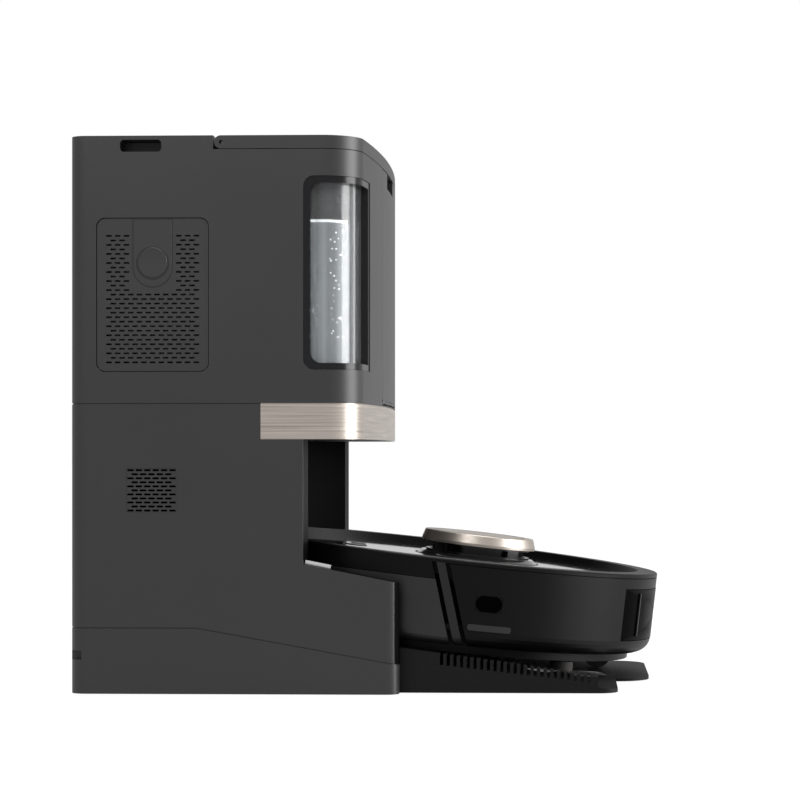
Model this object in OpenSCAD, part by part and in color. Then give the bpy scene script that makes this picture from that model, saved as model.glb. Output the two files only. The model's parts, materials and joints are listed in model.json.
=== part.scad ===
// Robot vacuum parked on its self-emptying, mop-washing station.
// X points to the front, Y to the left, Z up. The origin lies on the floor, on the mid-plane,
// half way along the station's base.

/* [Station] */
// Depth of the base, back to front
base_depth = 245.4; // [220:0.2:300]
// Depth of the upper housing at its bowed middle
upper_depth = 225.6; // [200:0.2:260]
// Margin of the station's width past each side of the robot
side_margin = 16; // [14:1:30]
// Height of the seam between the lower housing and the tank housing
shoulder_z = 216.3; // [190:0.1:260]
// Height of the tank housing, from its seam to the lid
tank_housing_h = 188.5; // [160:0.5:240]
// Thickness of the lid
lid_h = 9.8; // [8:0.1:16]
// Radius of the upper housing's front corners
front_corner_r = 30; // [20:1:40]
// Radius of the front's bow
bow_r = 1650; // [900:10:3000]
// Radius of the rear corners
rear_corner_r = 12; // [8:1:20]
// Radius of the base's front corners
base_corner_r = 9; // [6:1:14]
// Thickness of the moulded walls
wall = 3; // [2.5:0.1:4]

/* [Parking bay and ramp] */
// Distance from the station's back to the bay
bay_back = 81.15; // [70:0.5:120]
// Gap between the robot and the bay wall
bay_gap = 5; // [4:0.5:10]
// Front of the rear column, where the overhang starts
column_x = 143; // [130:1:160]
// Width of the posts beside the bay, front to back
post_w = 31.5; // [20:0.5:45]
// Height of the bright band under the tank housing
band_h = 26.9; // [18:0.1:40]
// Height of the sill where it leaves the post
sill_back_z = 96.6; // [90:0.5:110]
// Height of the sill at the front of the base
sill_front_z = 82.4; // [70:0.5:90]
// Height of the base's seam at the back
tray_h = 49.5; // [46:0.5:60]
// Height of the base's seam at the front
tray_front_h = 22.1; // [21.5:0.1:30]
// Angle of the deck, falling to the front
deck_tilt = 6.5; // [4:0.1:8]
// Reach of the ramp in front of the robot's centre
ramp_reach = 147.4; // [140:1:180]
// Thickness of the ramp at its front edge
ramp_lip = 2.5; // [2:0.1:4]
// Length of the middle tongue in front of the ramp
tongue_l = 27; // [10:1:40]
// Half width of the middle tongue
tongue_half_w = 80; // [50:1:120]
// Width of the ribbed shoulder on each side of the ramp
shoulder_w = 15; // [10:1:16]
// Distance between the shoulder's ribs
rib_pitch = 5; // [4:0.5:8]

/* [Tanks and covers] */
// Gap between the station's wall and a tank
tank_gap = 9; // [8.5:0.5:14]
// Thickness of a tank's wall
tank_wall = 2; // [1.6:0.1:3]
// Width of a tank
tank_w = 112; // [90:1:114]
// Height of a tank's body
tank_h = 168; // [120:1:176]
// Height of the water in the clean tank
water_h = 130; // [20:1:150]
// Back edge of the water window
window_back_x = 174.8; // [160:0.5:180]
// Width of the window on the front face
window_front_w = 55; // [45:1:60]
// Bottom and top of the window
window_z = [241, 385];
// Width of the front door
door_w = 134; // [100:1:140]
// Width of the door's finger notch
notch_w = 60; // [40:1:80]
// Side cover: back edge, bottom edge
cover_pos = [20.3, 239.5];
// Side cover: width and height
cover_size = [84.1, 114.6];
// Thickness of the side cover
cover_t = 3; // [2.4:0.1:4]

/* [Robot] */
// Diameter of the robot
robot_d = 350; // [340:1:420]
// Height of the top rim over the wheels' contact plane
rim_h = 82.6; // [78:0.1:100]
// Height of the body's lower edge over that plane
skirt_z = 18.1; // [16:0.1:22]
// Height of the belly pan over that plane
belly_z = 12; // [10:0.5:14]
// Depth of the glossy plate under the rim
plate_drop = 5; // [3:0.5:7]
// Width of the top rim
rim_w = 17; // [12:1:24]
// Thickness of the bumper and the skirt
skirt_t = 4; // [3:0.1:5]
// Travel of the bumper
bumper_travel = 3; // [2:0.5:3]
// Slant of the bumper's ends
split_slant = 18; // [5:1:25]
// Distance of the turret in front of the centre
turret_x = 27; // [0:1:40]
// Radius of the turret's cap at its lower rim
cap_r = 46.5; // [35:0.5:55]

/* [Running gear] */
// Radius of a drive wheel
wheel_r = 31; // [26:0.5:32]
// Width of a drive wheel
wheel_w = 18; // [12:1:22]
// Radius of the caster wheel
caster_r = 11; // [9:0.5:12]
// Radius of the main brush, over its bristles
brush_r = 19; // [15:0.5:20]
// Length of the main brush
brush_l = 168; // [140:1:170]
// Radius of a mop pad
mop_r = 52; // [45:1:54]
// Reach of the side brush's bristles
side_brush_r = 36; // [28:1:38]

/* [Fits] */
// Gap between pieces that move past each other
run_gap = 0.5; // [0.4:0.1:1]
// Radial clearance of a pin or shaft in its bore
pin_fit = 0.06; // [0.02:0.01:0.1]
// Height and depth of the groove at a seam
seam = 0.8; // [0.5:0.1:1.2]
// Gap between the running gear and the deck
deck_gap = 0.4; // [0.3:0.1:0.8]
// Radius of the hinge pins
pin_r = 1.5; // [1:0.1:2]

/* [Hidden] */
$fn = 96;

// Robot and station sizes that follow from the values above
robot_r = robot_d / 2;
half_w = robot_r + side_margin;
park_x = bay_back + bay_gap + robot_r;
ramp_front = park_x + ramp_reach;
deck_z = ramp_lip + ramp_reach * tan(deck_tilt);
bay_r = robot_r + bay_gap;
bay_x = park_x + tan(deck_tilt) * rim_h / 2;
bay_top = shoulder_z - band_h;
post_x = column_x + post_w;
housing_top = shoulder_z + tank_housing_h;
station_h = housing_top + run_gap + lid_h;
ramp_half_w = robot_r;
tongue_x = ramp_front + tongue_l;

// Plan of the tank housing: the front corners touch the bow and the sides
corner_y = half_w - front_corner_r;
bow_x = upper_depth - bow_r;
bow_angle = asin(corner_y / (bow_r - front_corner_r));
corner_x = bow_x + (bow_r - front_corner_r) * cos(bow_angle);

// Hinges
lid_barrel_r = lid_h / 2;
lid_gap = 0.8;
deck_end_x = 107.6;
lid_axis = [deck_end_x + lid_gap + lid_barrel_r, station_h - lid_barrel_r];
lug_y = 120;
lug_w = 12;
door_t = 4;
door_r = door_t / 2 + 1;
door_sill_gap = 1.2;
door_axis = [upper_depth - door_r - 1, shoulder_z + door_sill_gap + door_r];
knuckle_y = [30, 38];
eye_r = 2.1;
cover_r = cover_t / 2;
cover_y = -half_w + cover_r;
cover_axis_z = cover_pos[1] + run_gap + cover_r;
latch_w = 29.2;
latch_h = 51.5;
latch_x = cover_pos[0] + cover_size[0] / 2;
latch_z = cover_pos[1] + cover_size[1] - latch_h + cover_r;
pocket_depth = 20;

// Tanks stand on the tank housing's floor
floor_z = shoulder_z + wall;
tank_x = deck_end_x + 9;
tank_y = half_w - tank_gap;

// Robot layout, in the robot's own frame
plate_z = rim_h - plate_drop;
plate_t = 4;
plate_r = robot_r - rim_w;
cover_split_z = rim_h - 15.6;
bumper_top_z = rim_h - 3.7;
edge_r = 12;
belly_t = skirt_z + edge_r - belly_z;
flange_z = belly_z + belly_t;
flange_t = 4;
belly_r = robot_r - 17;
shell_r = robot_r - skirt_t;
ledge_r = shell_r - bumper_travel - 1;
strip_w = 10;
strip_gap = bumper_travel + 0.5;
boss_r = 5;
wheel_y = robot_r - 58;
wheel_z = wheel_r + deck_gap;
arm_x = -42;
arm_t = 5;
arm_r = 7;
axle_r = 4;
caster_x = robot_r - 39;
caster_trail = 5;
caster_z = caster_r + deck_gap;
fork_r = 15;
fork_top = caster_z + caster_r + run_gap + 3;
brush_x = 48;
brush_z = brush_r + deck_gap;
guard_t = 3;
mop_turn = 33;
mop_reach = robot_r - mop_r - 10;
mop_x = -mop_reach * cos(mop_turn);
mop_y = mop_reach * sin(mop_turn);
spindle_r = 8;
side_brush_pos = (robot_r - 27) * [cos(-45), sin(-45)];
button_x = -72;
button_travel = 0.8;

charcoal = "#3a3a3a";
black = "#1c1c1c";
champagne = "#aaa39b";

// ---- Frames and masks ----

// The station is drawn from its back plane
module station() { translate([-base_depth / 2, 0, 0]) children(); }

// The robot stands tilted on the deck; its own frame has its contact plane at zero
module robot() { station() translate([park_x, 0, deck_z]) rotate([0, deck_tilt, 0]) children(); }

// A side outline in X and Z, carried across Y between two planes
module across(y0, y1) {
  translate([0, y1, 0]) rotate([90, 0, 0]) linear_extrude(y1 - y0) children();
}

module block(x, y, z) {
  translate([x[0], y[0], z[0]]) cube([x[1] - x[0], y[1] - y[0], z[1] - z[0]]);
}

// A rectangle with exact round corners
module rounded(x, y, r) {
  translate([x[0] + r, y[0]]) square([x[1] - x[0] - 2 * r, y[1] - y[0]]);
  translate([x[0], y[0] + r]) square([x[1] - x[0], y[1] - y[0] - 2 * r]);
  for (px = [x[0] + r, x[1] - r], py = [y[0] + r, y[1] - r]) translate([px, py]) circle(r);
}

module tube(r_out, r_in, h) {
  difference() {
    cylinder(r = r_out, h = h);
    translate([0, 0, -1]) cylinder(r = r_in, h = h + 2);
  }
}

// Height of the deck at a distance from the station's back
function deck_at(x) = ramp_lip + (ramp_front - x) * tan(deck_tilt);

// ---- Station plans ----

// Plan of the tank housing, moved inwards by an inset
module upper_plan(inset = 0) {
  bow_half = (bow_r - inset) * sin(bow_angle);
  intersection() {
    translate([bow_x, 0]) circle(bow_r - inset, $fn = 360);
    translate([corner_x, -bow_half]) square([front_corner_r + 30, 2 * bow_half]);
  }
  for (s = [-1, 1]) {
    translate([corner_x, s * corner_y]) circle(front_corner_r - inset);
    translate([rear_corner_r, s * (half_w - rear_corner_r)]) circle(rear_corner_r - inset);
  }
  translate([rear_corner_r, -half_w + inset])
    square([corner_x - rear_corner_r, 2 * (half_w - inset)]);
  translate([inset, -half_w + rear_corner_r])
    square([rear_corner_r, 2 * (half_w - rear_corner_r)]);
  translate([corner_x - 1, -corner_y]) square([front_corner_r - inset, 2 * corner_y]);
}

module base_plan(inset = 0) {
  y = half_w - inset;
  translate([rear_corner_r, -y]) square([base_depth - base_corner_r - rear_corner_r, 2 * y]);
  translate([inset, -half_w + rear_corner_r])
    square([rear_corner_r, 2 * (half_w - rear_corner_r)]);
  translate([base_depth - base_corner_r - 1, -half_w + base_corner_r])
    square([base_corner_r + 1 - inset, 2 * (half_w - base_corner_r)]);
  for (s = [-1, 1]) {
    translate([rear_corner_r, s * (half_w - rear_corner_r)]) circle(rear_corner_r - inset);
    translate([base_depth - base_corner_r, s * (half_w - base_corner_r)])
      circle(base_corner_r - inset);
  }
}

// The space around the parked robot
module bay(grow = 0) {
  translate([bay_x, 0, -1]) cylinder(r = bay_r + grow, h = bay_top + 1, $fn = 180);
}

// Side outline above the deck
module above_deck(drop = 0) {
  polygon([[0, deck_at(0) - drop], [tongue_x, deck_at(tongue_x) - drop],
    [tongue_x, shoulder_z], [0, shoulder_z]]);
}

// Side outline of the base's lower shell
module tray_side() {
  polygon([[-1, 0], [base_depth + 1, 0], [base_depth + 1, tray_front_h],
    [95, tray_h], [-1, tray_h]]);
}

// Side outline of the lower housing, moved inwards by an inset; it reaches below its seam by a drop
module housing_side(inset = 0, drop = 0) {
  polygon([[-1, shoulder_z - inset], [column_x - inset, shoulder_z - inset],
    [column_x - inset, bay_top - inset], [post_x - inset, bay_top - inset],
    [post_x - inset, sill_back_z - inset], [base_depth + 1, sill_front_z - inset],
    [base_depth + 1, tray_front_h - drop], [95, tray_h - drop], [-1, tray_h - drop]]);
}

// ---- Station, lower part ----

module base_tray() {
  color(charcoal) station() difference() {
    intersection() {
      linear_extrude(tray_h + 1) base_plan();
      across(-half_w - 1, half_w + 1) tray_side();
    }
    intersection() {
      bay();
      across(-half_w, half_w) above_deck();
    }
    wash_pocket(0);
    translate([0, 0, -1]) foot_places() cylinder(r = foot_r, h = foot_t + 1);
    // cable notch in the rear corner, and the hollow behind the inlet
    block([-1, 9], [-half_w - 1, -half_w + 9], [25.4, 32.1]);
    block([-1, inlet_depth], inlet_y, inlet_z);
    // groove under the seam
    difference() {
      across(-half_w - 2, half_w + 2) polygon([[-2, tray_h - seam], [95, tray_h - seam],
        [base_depth + 2, tray_front_h - seam], [base_depth + 2, tray_front_h + 2],
        [95, tray_h + 2], [-2, tray_h + 2]]);
      linear_extrude(tray_h + 2) base_plan(seam);
    }
  }
}

foot_r = 9;
foot_t = 2;
inlet_depth = 14;
inlet_y = [120, 150];
inlet_z = [14, 36];

module foot_places() {
  for (x = [24, 225], y = [-168, 0, 168]) translate([x, y, 0]) children();
}

module rubber_feet() {
  color(black) station() foot_places() cylinder(r = foot_r, h = foot_t);
}

// The washing board sits in a pocket of the deck
board_x = [park_x + mop_x - mop_r - 6, park_x + mop_x + mop_r + 6];
board_half_w = mop_y + mop_r + 8;
board_t = 4;

module wash_pocket(gap) {
  intersection() {
    translate([0, 0, 1]) linear_extrude(tray_h) rounded(board_x - [-gap, gap],
      [-board_half_w + gap, board_half_w - gap], 14);
    across(-half_w, half_w) difference() {
      above_deck(board_t);
      above_deck(0);
    }
  }
}

module wash_board() {
  color(charcoal) station() difference() {
    wash_pocket(0);
    // scrubbing basins with ribs left standing across them
    for (s = [-1, 1]) translate([park_x, 0, deck_z]) rotate([0, deck_tilt, 0])
      translate([mop_x, s * mop_y, -2.2]) difference() {
        cylinder(r = mop_r - 2, h = 10);
        for (a = [0 : 45 : 135]) rotate([0, 0, a])
          block([-mop_r, mop_r], [-2, 2], [-1, 1.4]);
        cylinder(r = 11, h = 1.4);
      }
  }
}

// The ramp in front of the base
module ramp_plan() {
  lip_r = 15;
  nose_r = 26;
  translate([base_depth, -ramp_half_w])
    square([ramp_front - lip_r - base_depth, 2 * ramp_half_w]);
  translate([base_depth, -ramp_half_w + lip_r])
    square([ramp_front - base_depth, 2 * (ramp_half_w - lip_r)]);
  for (s = [-1, 1]) translate([ramp_front - lip_r, s * (ramp_half_w - lip_r)]) circle(lip_r);
  translate([ramp_front - 1, -tongue_half_w])
    square([tongue_l - nose_r + 1, 2 * tongue_half_w]);
  translate([ramp_front - 1, -tongue_half_w + nose_r])
    square([tongue_l + 1, 2 * (tongue_half_w - nose_r)]);
  for (s = [-1, 1]) translate([tongue_x - nose_r, s * (tongue_half_w - nose_r)]) circle(nose_r);
}

module ramp() {
  color(black) station() intersection() {
    linear_extrude(tray_h) ramp_plan();
    across(-half_w, half_w) polygon([[base_depth, 0], [tongue_x + 1, 0],
      [tongue_x + 1, ramp_lip], [ramp_front, ramp_lip], [base_depth, deck_at(base_depth)]]);
  }
}

// Ribbed shoulder at one side of the ramp; s is 1 for the left, -1 for the right
shoulder_back = 33.5;
shoulder_front = 12.2;
rib_start = 30;

module ramp_shoulder(s) {
  y = s > 0 ? [ramp_half_w - shoulder_w, ramp_half_w] : [-ramp_half_w, -ramp_half_w + shoulder_w];
  end = ramp_front - 15;
  color(black) station() difference() {
    across(y[0], y[1]) polygon([[base_depth, deck_at(base_depth)], [end, deck_at(end)],
      [end, shoulder_front], [base_depth, shoulder_back]]);
    for (x = [base_depth + rib_start : rib_pitch : end - 4])
      block([x, x + rib_pitch / 2], [y[0] - 1, y[1] + 1],
        [deck_at(x) + 3, shoulder_back + 5]);
  }
}

module ramp_shoulder_left() { ramp_shoulder(1); }
module ramp_shoulder_right() { ramp_shoulder(-1); }

module lower_housing() {
  color(charcoal) station() difference() {
    intersection() {
      linear_extrude(shoulder_z) base_plan();
      across(-half_w - 1, half_w + 1) housing_side();
    }
    bay();
    // hollow of the column and the sills
    difference() {
      intersection() {
        linear_extrude(shoulder_z) base_plan(wall);
        across(-half_w - 1, half_w + 1) housing_side(wall, 1);
      }
      bay(wall);
    }
    translate([0, -half_w - 1, 0]) across(0, wall + 2) rounded(grille_x, grille_z, 1);
    // groove under the tank housing's seam
    difference() {
      translate([-1, -half_w - 1, shoulder_z - seam]) cube([column_x + 1, 2 * half_w + 2, seam + 1]);
      linear_extrude(shoulder_z + 2) base_plan(seam);
    }
  }
}

grille_x = [42.7, 80.4];
grille_z = [134.7, 168];
grille_rows = 11;

module lower_grille() {
  pitch = (grille_z[1] - grille_z[0]) / grille_rows;
  color(black) station() difference() {
    translate([0, -half_w, 0]) across(0.4, wall) rounded(grille_x, grille_z, 1);
    for (i = [0 : grille_rows - 1])
      block(grille_x + [2, -2], [-half_w - 1, -half_w + wall + 1],
        [grille_z[0] + (i + 0.3) * pitch, grille_z[0] + (i + 0.7) * pitch]);
  }
}

module bay_ceiling() {
  color(black) station() intersection() {
    translate([0, 0, bay_top]) linear_extrude(wall) upper_plan(wall);
    block([column_x, upper_depth], [-half_w, half_w], [bay_top, bay_top + wall]);
  }
}

module trim_band() {
  color(champagne) station() intersection() {
    difference() {
      translate([0, 0, bay_top]) linear_extrude(band_h) upper_plan();
      translate([0, 0, bay_top - 1]) linear_extrude(band_h + 2) upper_plan(wall);
      translate([0, 0, shoulder_z - seam]) linear_extrude(seam + 1) difference() {
        upper_plan(-1);
        upper_plan(seam);
      }
    }
    block([column_x, upper_depth + 1], [-half_w, half_w], [bay_top, shoulder_z]);
  }
}

module power_inlet() {
  color(black) station() difference() {
    block([0, inlet_depth], inlet_y, inlet_z);
    block([-1, inlet_depth - 4], inlet_y + [3, -3], inlet_z + [3, -3]);
  }
}

// Sprung contacts on the bay's back wall, just clear of the robot's own contacts
contact_y = 30;
contact_half_w = 5;
contact_h = 10;
contact_up = 32;
contact_back = sqrt(robot_r * robot_r - pow(contact_y - contact_half_w, 2));
contact_tip_x = park_x - contact_back * cos(deck_tilt)
  + (contact_up - contact_h / 2) * sin(deck_tilt) - run_gap;
contact_z = deck_z + contact_back * sin(deck_tilt) + contact_up * cos(deck_tilt);

module dock_contacts() {
  color("silver") station() difference() {
    for (s = [-1, 1]) block([contact_tip_x - bay_gap - 2, contact_tip_x],
      [s * contact_y - contact_half_w, s * contact_y + contact_half_w],
      [contact_z - contact_h / 2, contact_z + contact_h / 2]);
    difference() {
      bay(bay_gap + wall);
      bay(0);
    }
  }
}

// Silver-framed sensor strips on top of the sills
module sill_sensors() {
  slope = atan((sill_back_z - sill_front_z) / (base_depth + 1 - post_x));
  color("silver") station() for (s = [-1, 1]) translate([post_x, s * (half_w - 12), sill_back_z])
    rotate([0, slope, 0]) block([0.5, 20], [-3.5, 3.5], [0, 3]);
}

module water_pump() {
  color(black) station() {
    block([20, 70], [110, 170], [tray_h, tray_h + 42]);
    translate([45, 140, tray_h + 42]) cylinder(r = 16, h = 22);
    translate([45, 140, tray_h + 64]) cylinder(r = 4, h = shoulder_z - wall - tray_h - 64);
  }
}

module circuit_board() {
  color("darkgreen") station() {
    block([20, 22], [-60, 60], [tray_h, tray_h + 90]);
    for (y = [-40, 0, 40]) block([22, 32], [y - 9, y + 9], [tray_h + 20, tray_h + 44]);
  }
}

// ---- Station, tank housing ----

handle_x = [38, 69];
handle_z = [station_h - 12, station_h - 3];
handle_depth = 22;
door_gap = run_gap;
door_top = housing_top - 0.4;
notch_h = 12;
pocket_wall = 2;

module window_hole(gap = 0) {
  translate([0, -half_w - 1, 0]) across(0, window_front_w + 1 - gap)
    rounded([window_back_x + gap, upper_depth + 20], window_z + [gap, -gap], 8);
}

module cover_hole(gap = 0, y1 = 0) {
  translate([0, -half_w - 1, 0]) across(0, y1 + 1)
    rounded([cover_pos[0] + gap, cover_pos[0] + cover_size[0] - gap],
      [cover_pos[1] + gap, cover_pos[1] + cover_size[1] - gap], 6.6);
}

module upper_housing() {
  half_door = door_w / 2;
  pocket_x = [cover_pos[0] - pocket_wall, cover_pos[0] + cover_size[0] + pocket_wall];
  pocket_z = [cover_pos[1] - pocket_wall, cover_pos[1] + cover_size[1] + pocket_wall];
  color(charcoal) station() difference() {
    union() {
      difference() {
        union() {
          translate([0, 0, shoulder_z]) linear_extrude(tank_housing_h) upper_plan();
          translate([0, 0, shoulder_z]) linear_extrude(station_h - shoulder_z) intersection() {
            upper_plan();
            translate([-1, -half_w]) square([deck_end_x + 1, 2 * half_w]);
          }
        }
        translate([0, 0, floor_z]) linear_extrude(station_h - wall - floor_z) intersection() {
          upper_plan(wall);
          translate([0, -half_w]) square([deck_end_x - wall, 2 * half_w]);
        }
        translate([0, 0, floor_z]) linear_extrude(tank_housing_h) intersection() {
          upper_plan(wall);
          translate([deck_end_x, -half_w]) square([upper_depth, 2 * half_w]);
        }
      }
      block(pocket_x, [-half_w + 1, -half_w + pocket_depth + pocket_wall], pocket_z);
      for (s = [-1, 1]) translate([0, s * (half_w - 1 - handle_depth / 2), 0])
        block(handle_x + [-2, 2], [-handle_depth / 2, handle_depth / 2], handle_z + [-2, 2]);
      // lugs that carry the lid's pin, and knuckles for the door's pin
      for (s = [-1, 1]) translate([0, s * lug_y, 0]) across(-lug_w / 2, lug_w / 2) {
        translate([lid_axis[0], lid_axis[1]]) circle(4);
        translate([deck_end_x - wall, lid_axis[1] - 14]) square([wall + lid_barrel_r + 4, 10]);
        translate([lid_axis[0] - 4, lid_axis[1] - 12]) square([8, 12]);
      }
    }
    window_hole();
    cover_hole(0, pocket_depth);
    for (s = [-1, 1]) handle_slot(s);
    // doorway, with the knuckles left standing in it, and pin bores
    difference() {
      block([upper_depth - 12, upper_depth + 1], [-half_door, half_door],
        [shoulder_z + door_sill_gap / 2, housing_top + 1]);
      for (s = [-1, 1]) housing_knuckle(s);
    }
    across(-half_door + 1, half_door - 1) translate([door_axis[0], door_axis[1]]) circle(pin_r);
    across(-half_w, half_w) translate([lid_axis[0], lid_axis[1]]) circle(pin_r);
    translate([cover_pos[0] - 1, cover_y, cover_axis_z]) rotate([0, 90, 0])
      cylinder(r = pin_r / 2, h = cover_size[0] + 2);
  }
}

// Eye for the door's pin on a leg behind it, so the door swings clear of the eye
module housing_knuckle(s) {
  y = s > 0 ? knuckle_y : [-knuckle_y[1], -knuckle_y[0]];
  across(y[0], y[1]) {
    translate([door_axis[0], door_axis[1]]) circle(eye_r);
    translate([door_axis[0] - 14, shoulder_z]) square([14 - eye_r / 2, door_axis[1] + eye_r - shoulder_z]);
  }
}

// Room in the door for a knuckle
module knuckle_room(s) {
  y = s > 0 ? knuckle_y : [-knuckle_y[1], -knuckle_y[0]];
  block([door_axis[0] - 14, door_axis[0] + eye_r + run_gap], y + [-run_gap, run_gap],
    [shoulder_z, door_axis[1] + door_r + run_gap]);
}

// Finger slot near the top of a side wall
module handle_slot(s) {
  y = s > 0 ? [half_w - handle_depth + 2, half_w + 1] : [-half_w - 1, -half_w + handle_depth - 2];
  across(y[0], y[1]) rounded(handle_x, handle_z, 3);
}

module window_frame() {
  color(black) station() difference() {
    intersection() {
      window_hole(0.2);
      translate([0, 0, window_z[0]]) linear_extrude(window_z[1] - window_z[0]) difference() {
        upper_plan(0.6);
        upper_plan(tank_gap - 3);
      }
    }
    window_hole(5);
  }
}

module window_lens() {
  color("lightgrey", 0.4) station() intersection() {
    window_hole(1);
    translate([0, 0, window_z[0]]) linear_extrude(window_z[1] - window_z[0]) difference() {
      upper_plan(tank_gap - 3);
      upper_plan(tank_gap - 1);
    }
  }
}

// Outer shape of a tank, moved inwards by an inset; s is 1 for the left, -1 for the right
module tank_plan(s, inset = 0) {
  y = s > 0 ? [tank_y - tank_w + inset, half_w] : [-half_w, -tank_y + tank_w - inset];
  intersection() {
    upper_plan(tank_gap + inset);
    translate([tank_x + inset, y[0]]) square([upper_depth, y[1] - y[0]]);
  }
}

module tank(s) {
  station() difference() {
    translate([0, 0, floor_z]) linear_extrude(tank_h) tank_plan(s);
    translate([0, 0, floor_z + tank_wall]) linear_extrude(tank_h) tank_plan(s, tank_wall);
  }
}

module tank_cap(s) {
  y = s * (tank_y - tank_w / 2);
  z = floor_z + tank_h;
  station() {
    translate([0, 0, z]) linear_extrude(5) tank_plan(s);
    difference() {
      block([tank_x + 30, tank_x + 60], [y - 30, y + 30], [z + 5, z + 12]);
      block([tank_x + 29, tank_x + 61], [y - 24, y + 24], [z + 5, z + 9]);
    }
  }
}

module clean_tank() { color("lightgrey", 0.4) tank(-1); }
module clean_tank_cap() { color(charcoal) tank_cap(-1); }
module dirty_tank() { color("#555555") tank(1); }
module dirty_tank_cap() { color(charcoal) tank_cap(1); }

module clean_water() {
  color("lightblue", 0.5) station() translate([0, 0, floor_z + tank_wall])
    linear_extrude(water_h) tank_plan(-1, tank_wall + 0.1);
}

bag_x = [124, 206];
bag_half_w = 54;
bag_h = 150;

module dust_bag() {
  color("beige") station() translate([0, 0, floor_z]) linear_extrude(bag_h)
    rounded(bag_x, [-bag_half_w, bag_half_w], 14);
}

module suction_motor() {
  color(black) station() {
    translate([58, 40, floor_z]) cylinder(r = 42, h = 95);
    translate([58, 40, floor_z + 95]) cylinder(r = 26, h = 22);
  }
}

module exhaust_filter() {
  y = -half_w + pocket_depth;
  color("ivory") station() block([cover_pos[0] + 8, cover_pos[0] + cover_size[0] - 8],
    [y - 10, y], [cover_pos[1] + 10, cover_pos[1] + cover_size[1] - 10]);
}

module lid_pin() {
  color("silver") station() across(-half_w + wall + 6, half_w - wall - 6)
    translate([lid_axis[0], lid_axis[1]]) circle(pin_r);
}

module door_pin() {
  color("silver") station() across(-door_w / 2 + 1, door_w / 2 - 1)
    translate([door_axis[0], door_axis[1]]) circle(pin_r);
}

module cover_pin() {
  color("silver") station() translate([cover_pos[0] - 1, cover_y, cover_axis_z])
    rotate([0, 90, 0]) cylinder(r = pin_r / 2, h = cover_size[0] + 2);
}

// ---- Station, moving covers ----

module lid() {
  z = housing_top + run_gap;
  color(charcoal) station() difference() {
    union() {
      translate([0, 0, z]) linear_extrude(lid_h) intersection() {
        upper_plan();
        translate([lid_axis[0], -half_w]) square([upper_depth, 2 * half_w]);
      }
      across(-half_w, half_w) translate([lid_axis[0], lid_axis[1]]) circle(lid_barrel_r);
    }
    translate([0, 0, z - 1]) linear_extrude(lid_h - wall + 1) intersection() {
      upper_plan(wall + 2);
      translate([lid_axis[0] + lid_barrel_r + 1, -half_w]) square([upper_depth, 2 * half_w]);
    }
    across(-half_w - 1, half_w + 1) translate([lid_axis[0], lid_axis[1]])
      circle(pin_r + pin_fit);
    for (s = [-1, 1]) block([deck_end_x, lid_axis[0] + lid_barrel_r + 2],
      [s * lug_y - lug_w / 2 - run_gap, s * lug_y + lug_w / 2 + run_gap],
      [z - 1, station_h + 1]);
  }
}

module dust_door() {
  half = door_w / 2 - door_gap;
  z = [door_axis[1], door_top];
  pocket_x = [upper_depth - 16, upper_depth - door_t / 2];
  color(charcoal) station() difference() {
    union() {
      translate([0, 0, z[0]]) linear_extrude(z[1] - z[0]) intersection() {
        difference() {
          upper_plan();
          upper_plan(door_t);
        }
        translate([upper_depth - 12, -half]) square([12, 2 * half]);
      }
      across(-half, half) translate([door_axis[0], door_axis[1]]) circle(door_r);
      block(pocket_x, [-notch_w / 2 - 2, notch_w / 2 + 2], [z[1] - notch_h - 3, z[1] - 1]);
    }
    across(-half - 1, half + 1) translate([door_axis[0], door_axis[1]]) circle(pin_r + pin_fit);
    // finger notch, and room for the knuckles
    block([pocket_x[0] + 2, upper_depth + 1], [-notch_w / 2, notch_w / 2],
      [z[1] - notch_h, z[1] + 1]);
    for (s = [-1, 1]) knuckle_room(s);
  }
}

module latch_plan(grow = 0) {
  x = [latch_x - latch_w / 2 - grow, latch_x + latch_w / 2 + grow];
  top = cover_pos[1] + cover_size[1] - 2;
  translate([x[0], latch_z]) square([x[1] - x[0], top - latch_z + grow]);
  intersection() {
    translate([latch_x, latch_z]) circle(latch_w / 2 + grow);
    translate([x[0], latch_z - cover_t]) square([x[1] - x[0], cover_t + 1]);
  }
}

module side_cover() {
  slot_x = [cover_pos[0] + 7, cover_pos[0] + cover_size[0] - 7];
  color(charcoal) station() difference() {
    union() {
      intersection() {
        cover_hole(run_gap, cover_t);
        translate([0, -half_w, cover_axis_z]) cube([200, cover_t, 200]);
      }
      translate([cover_pos[0] + 6.6, cover_y, cover_axis_z]) rotate([0, 90, 0])
        cylinder(r = cover_r, h = cover_size[0] - 13.2);
    }
    translate([0, cover_y, cover_axis_z]) rotate([0, 90, 0])
      cylinder(r = pin_r / 2 + pin_fit, h = 200);
    translate([0, -half_w - 1, 0]) across(0, cover_t + 2) latch_plan(run_gap);
    // vent slots below the latch and beside it
    for (z = [cover_pos[1] + 10 : 6.6 : latch_z - 12]) block(slot_x,
      [-half_w - 1, -half_w + cover_t + 1], [z, z + 3]);
    for (z = [latch_z + 2 : 6.6 : cover_pos[1] + cover_size[1] - 14]) {
      block([slot_x[0], latch_x - latch_w / 2 - 4], [-half_w - 1, -half_w + cover_t + 1], [z, z + 3]);
      block([latch_x + latch_w / 2 + 4, slot_x[1]], [-half_w - 1, -half_w + cover_t + 1], [z, z + 3]);
    }
  }
}

module cover_latch() {
  color(charcoal) station() {
    intersection() {
      translate([0, -half_w, 0]) across(0, cover_t) latch_plan(0);
      block([0, 200], [-half_w - 1, -half_w + cover_t], [latch_z, station_h]);
    }
    translate([latch_x - latch_w / 2, cover_y, latch_z]) rotate([0, 90, 0])
      cylinder(r = cover_r, h = latch_w);
  }
}

// ---- Robot masks, in the robot's own frame ----

// Distance of the slanted split in front of the robot's centre, at a height
function split_x(z) = (rim_h - z) * tan(split_slant);

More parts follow.
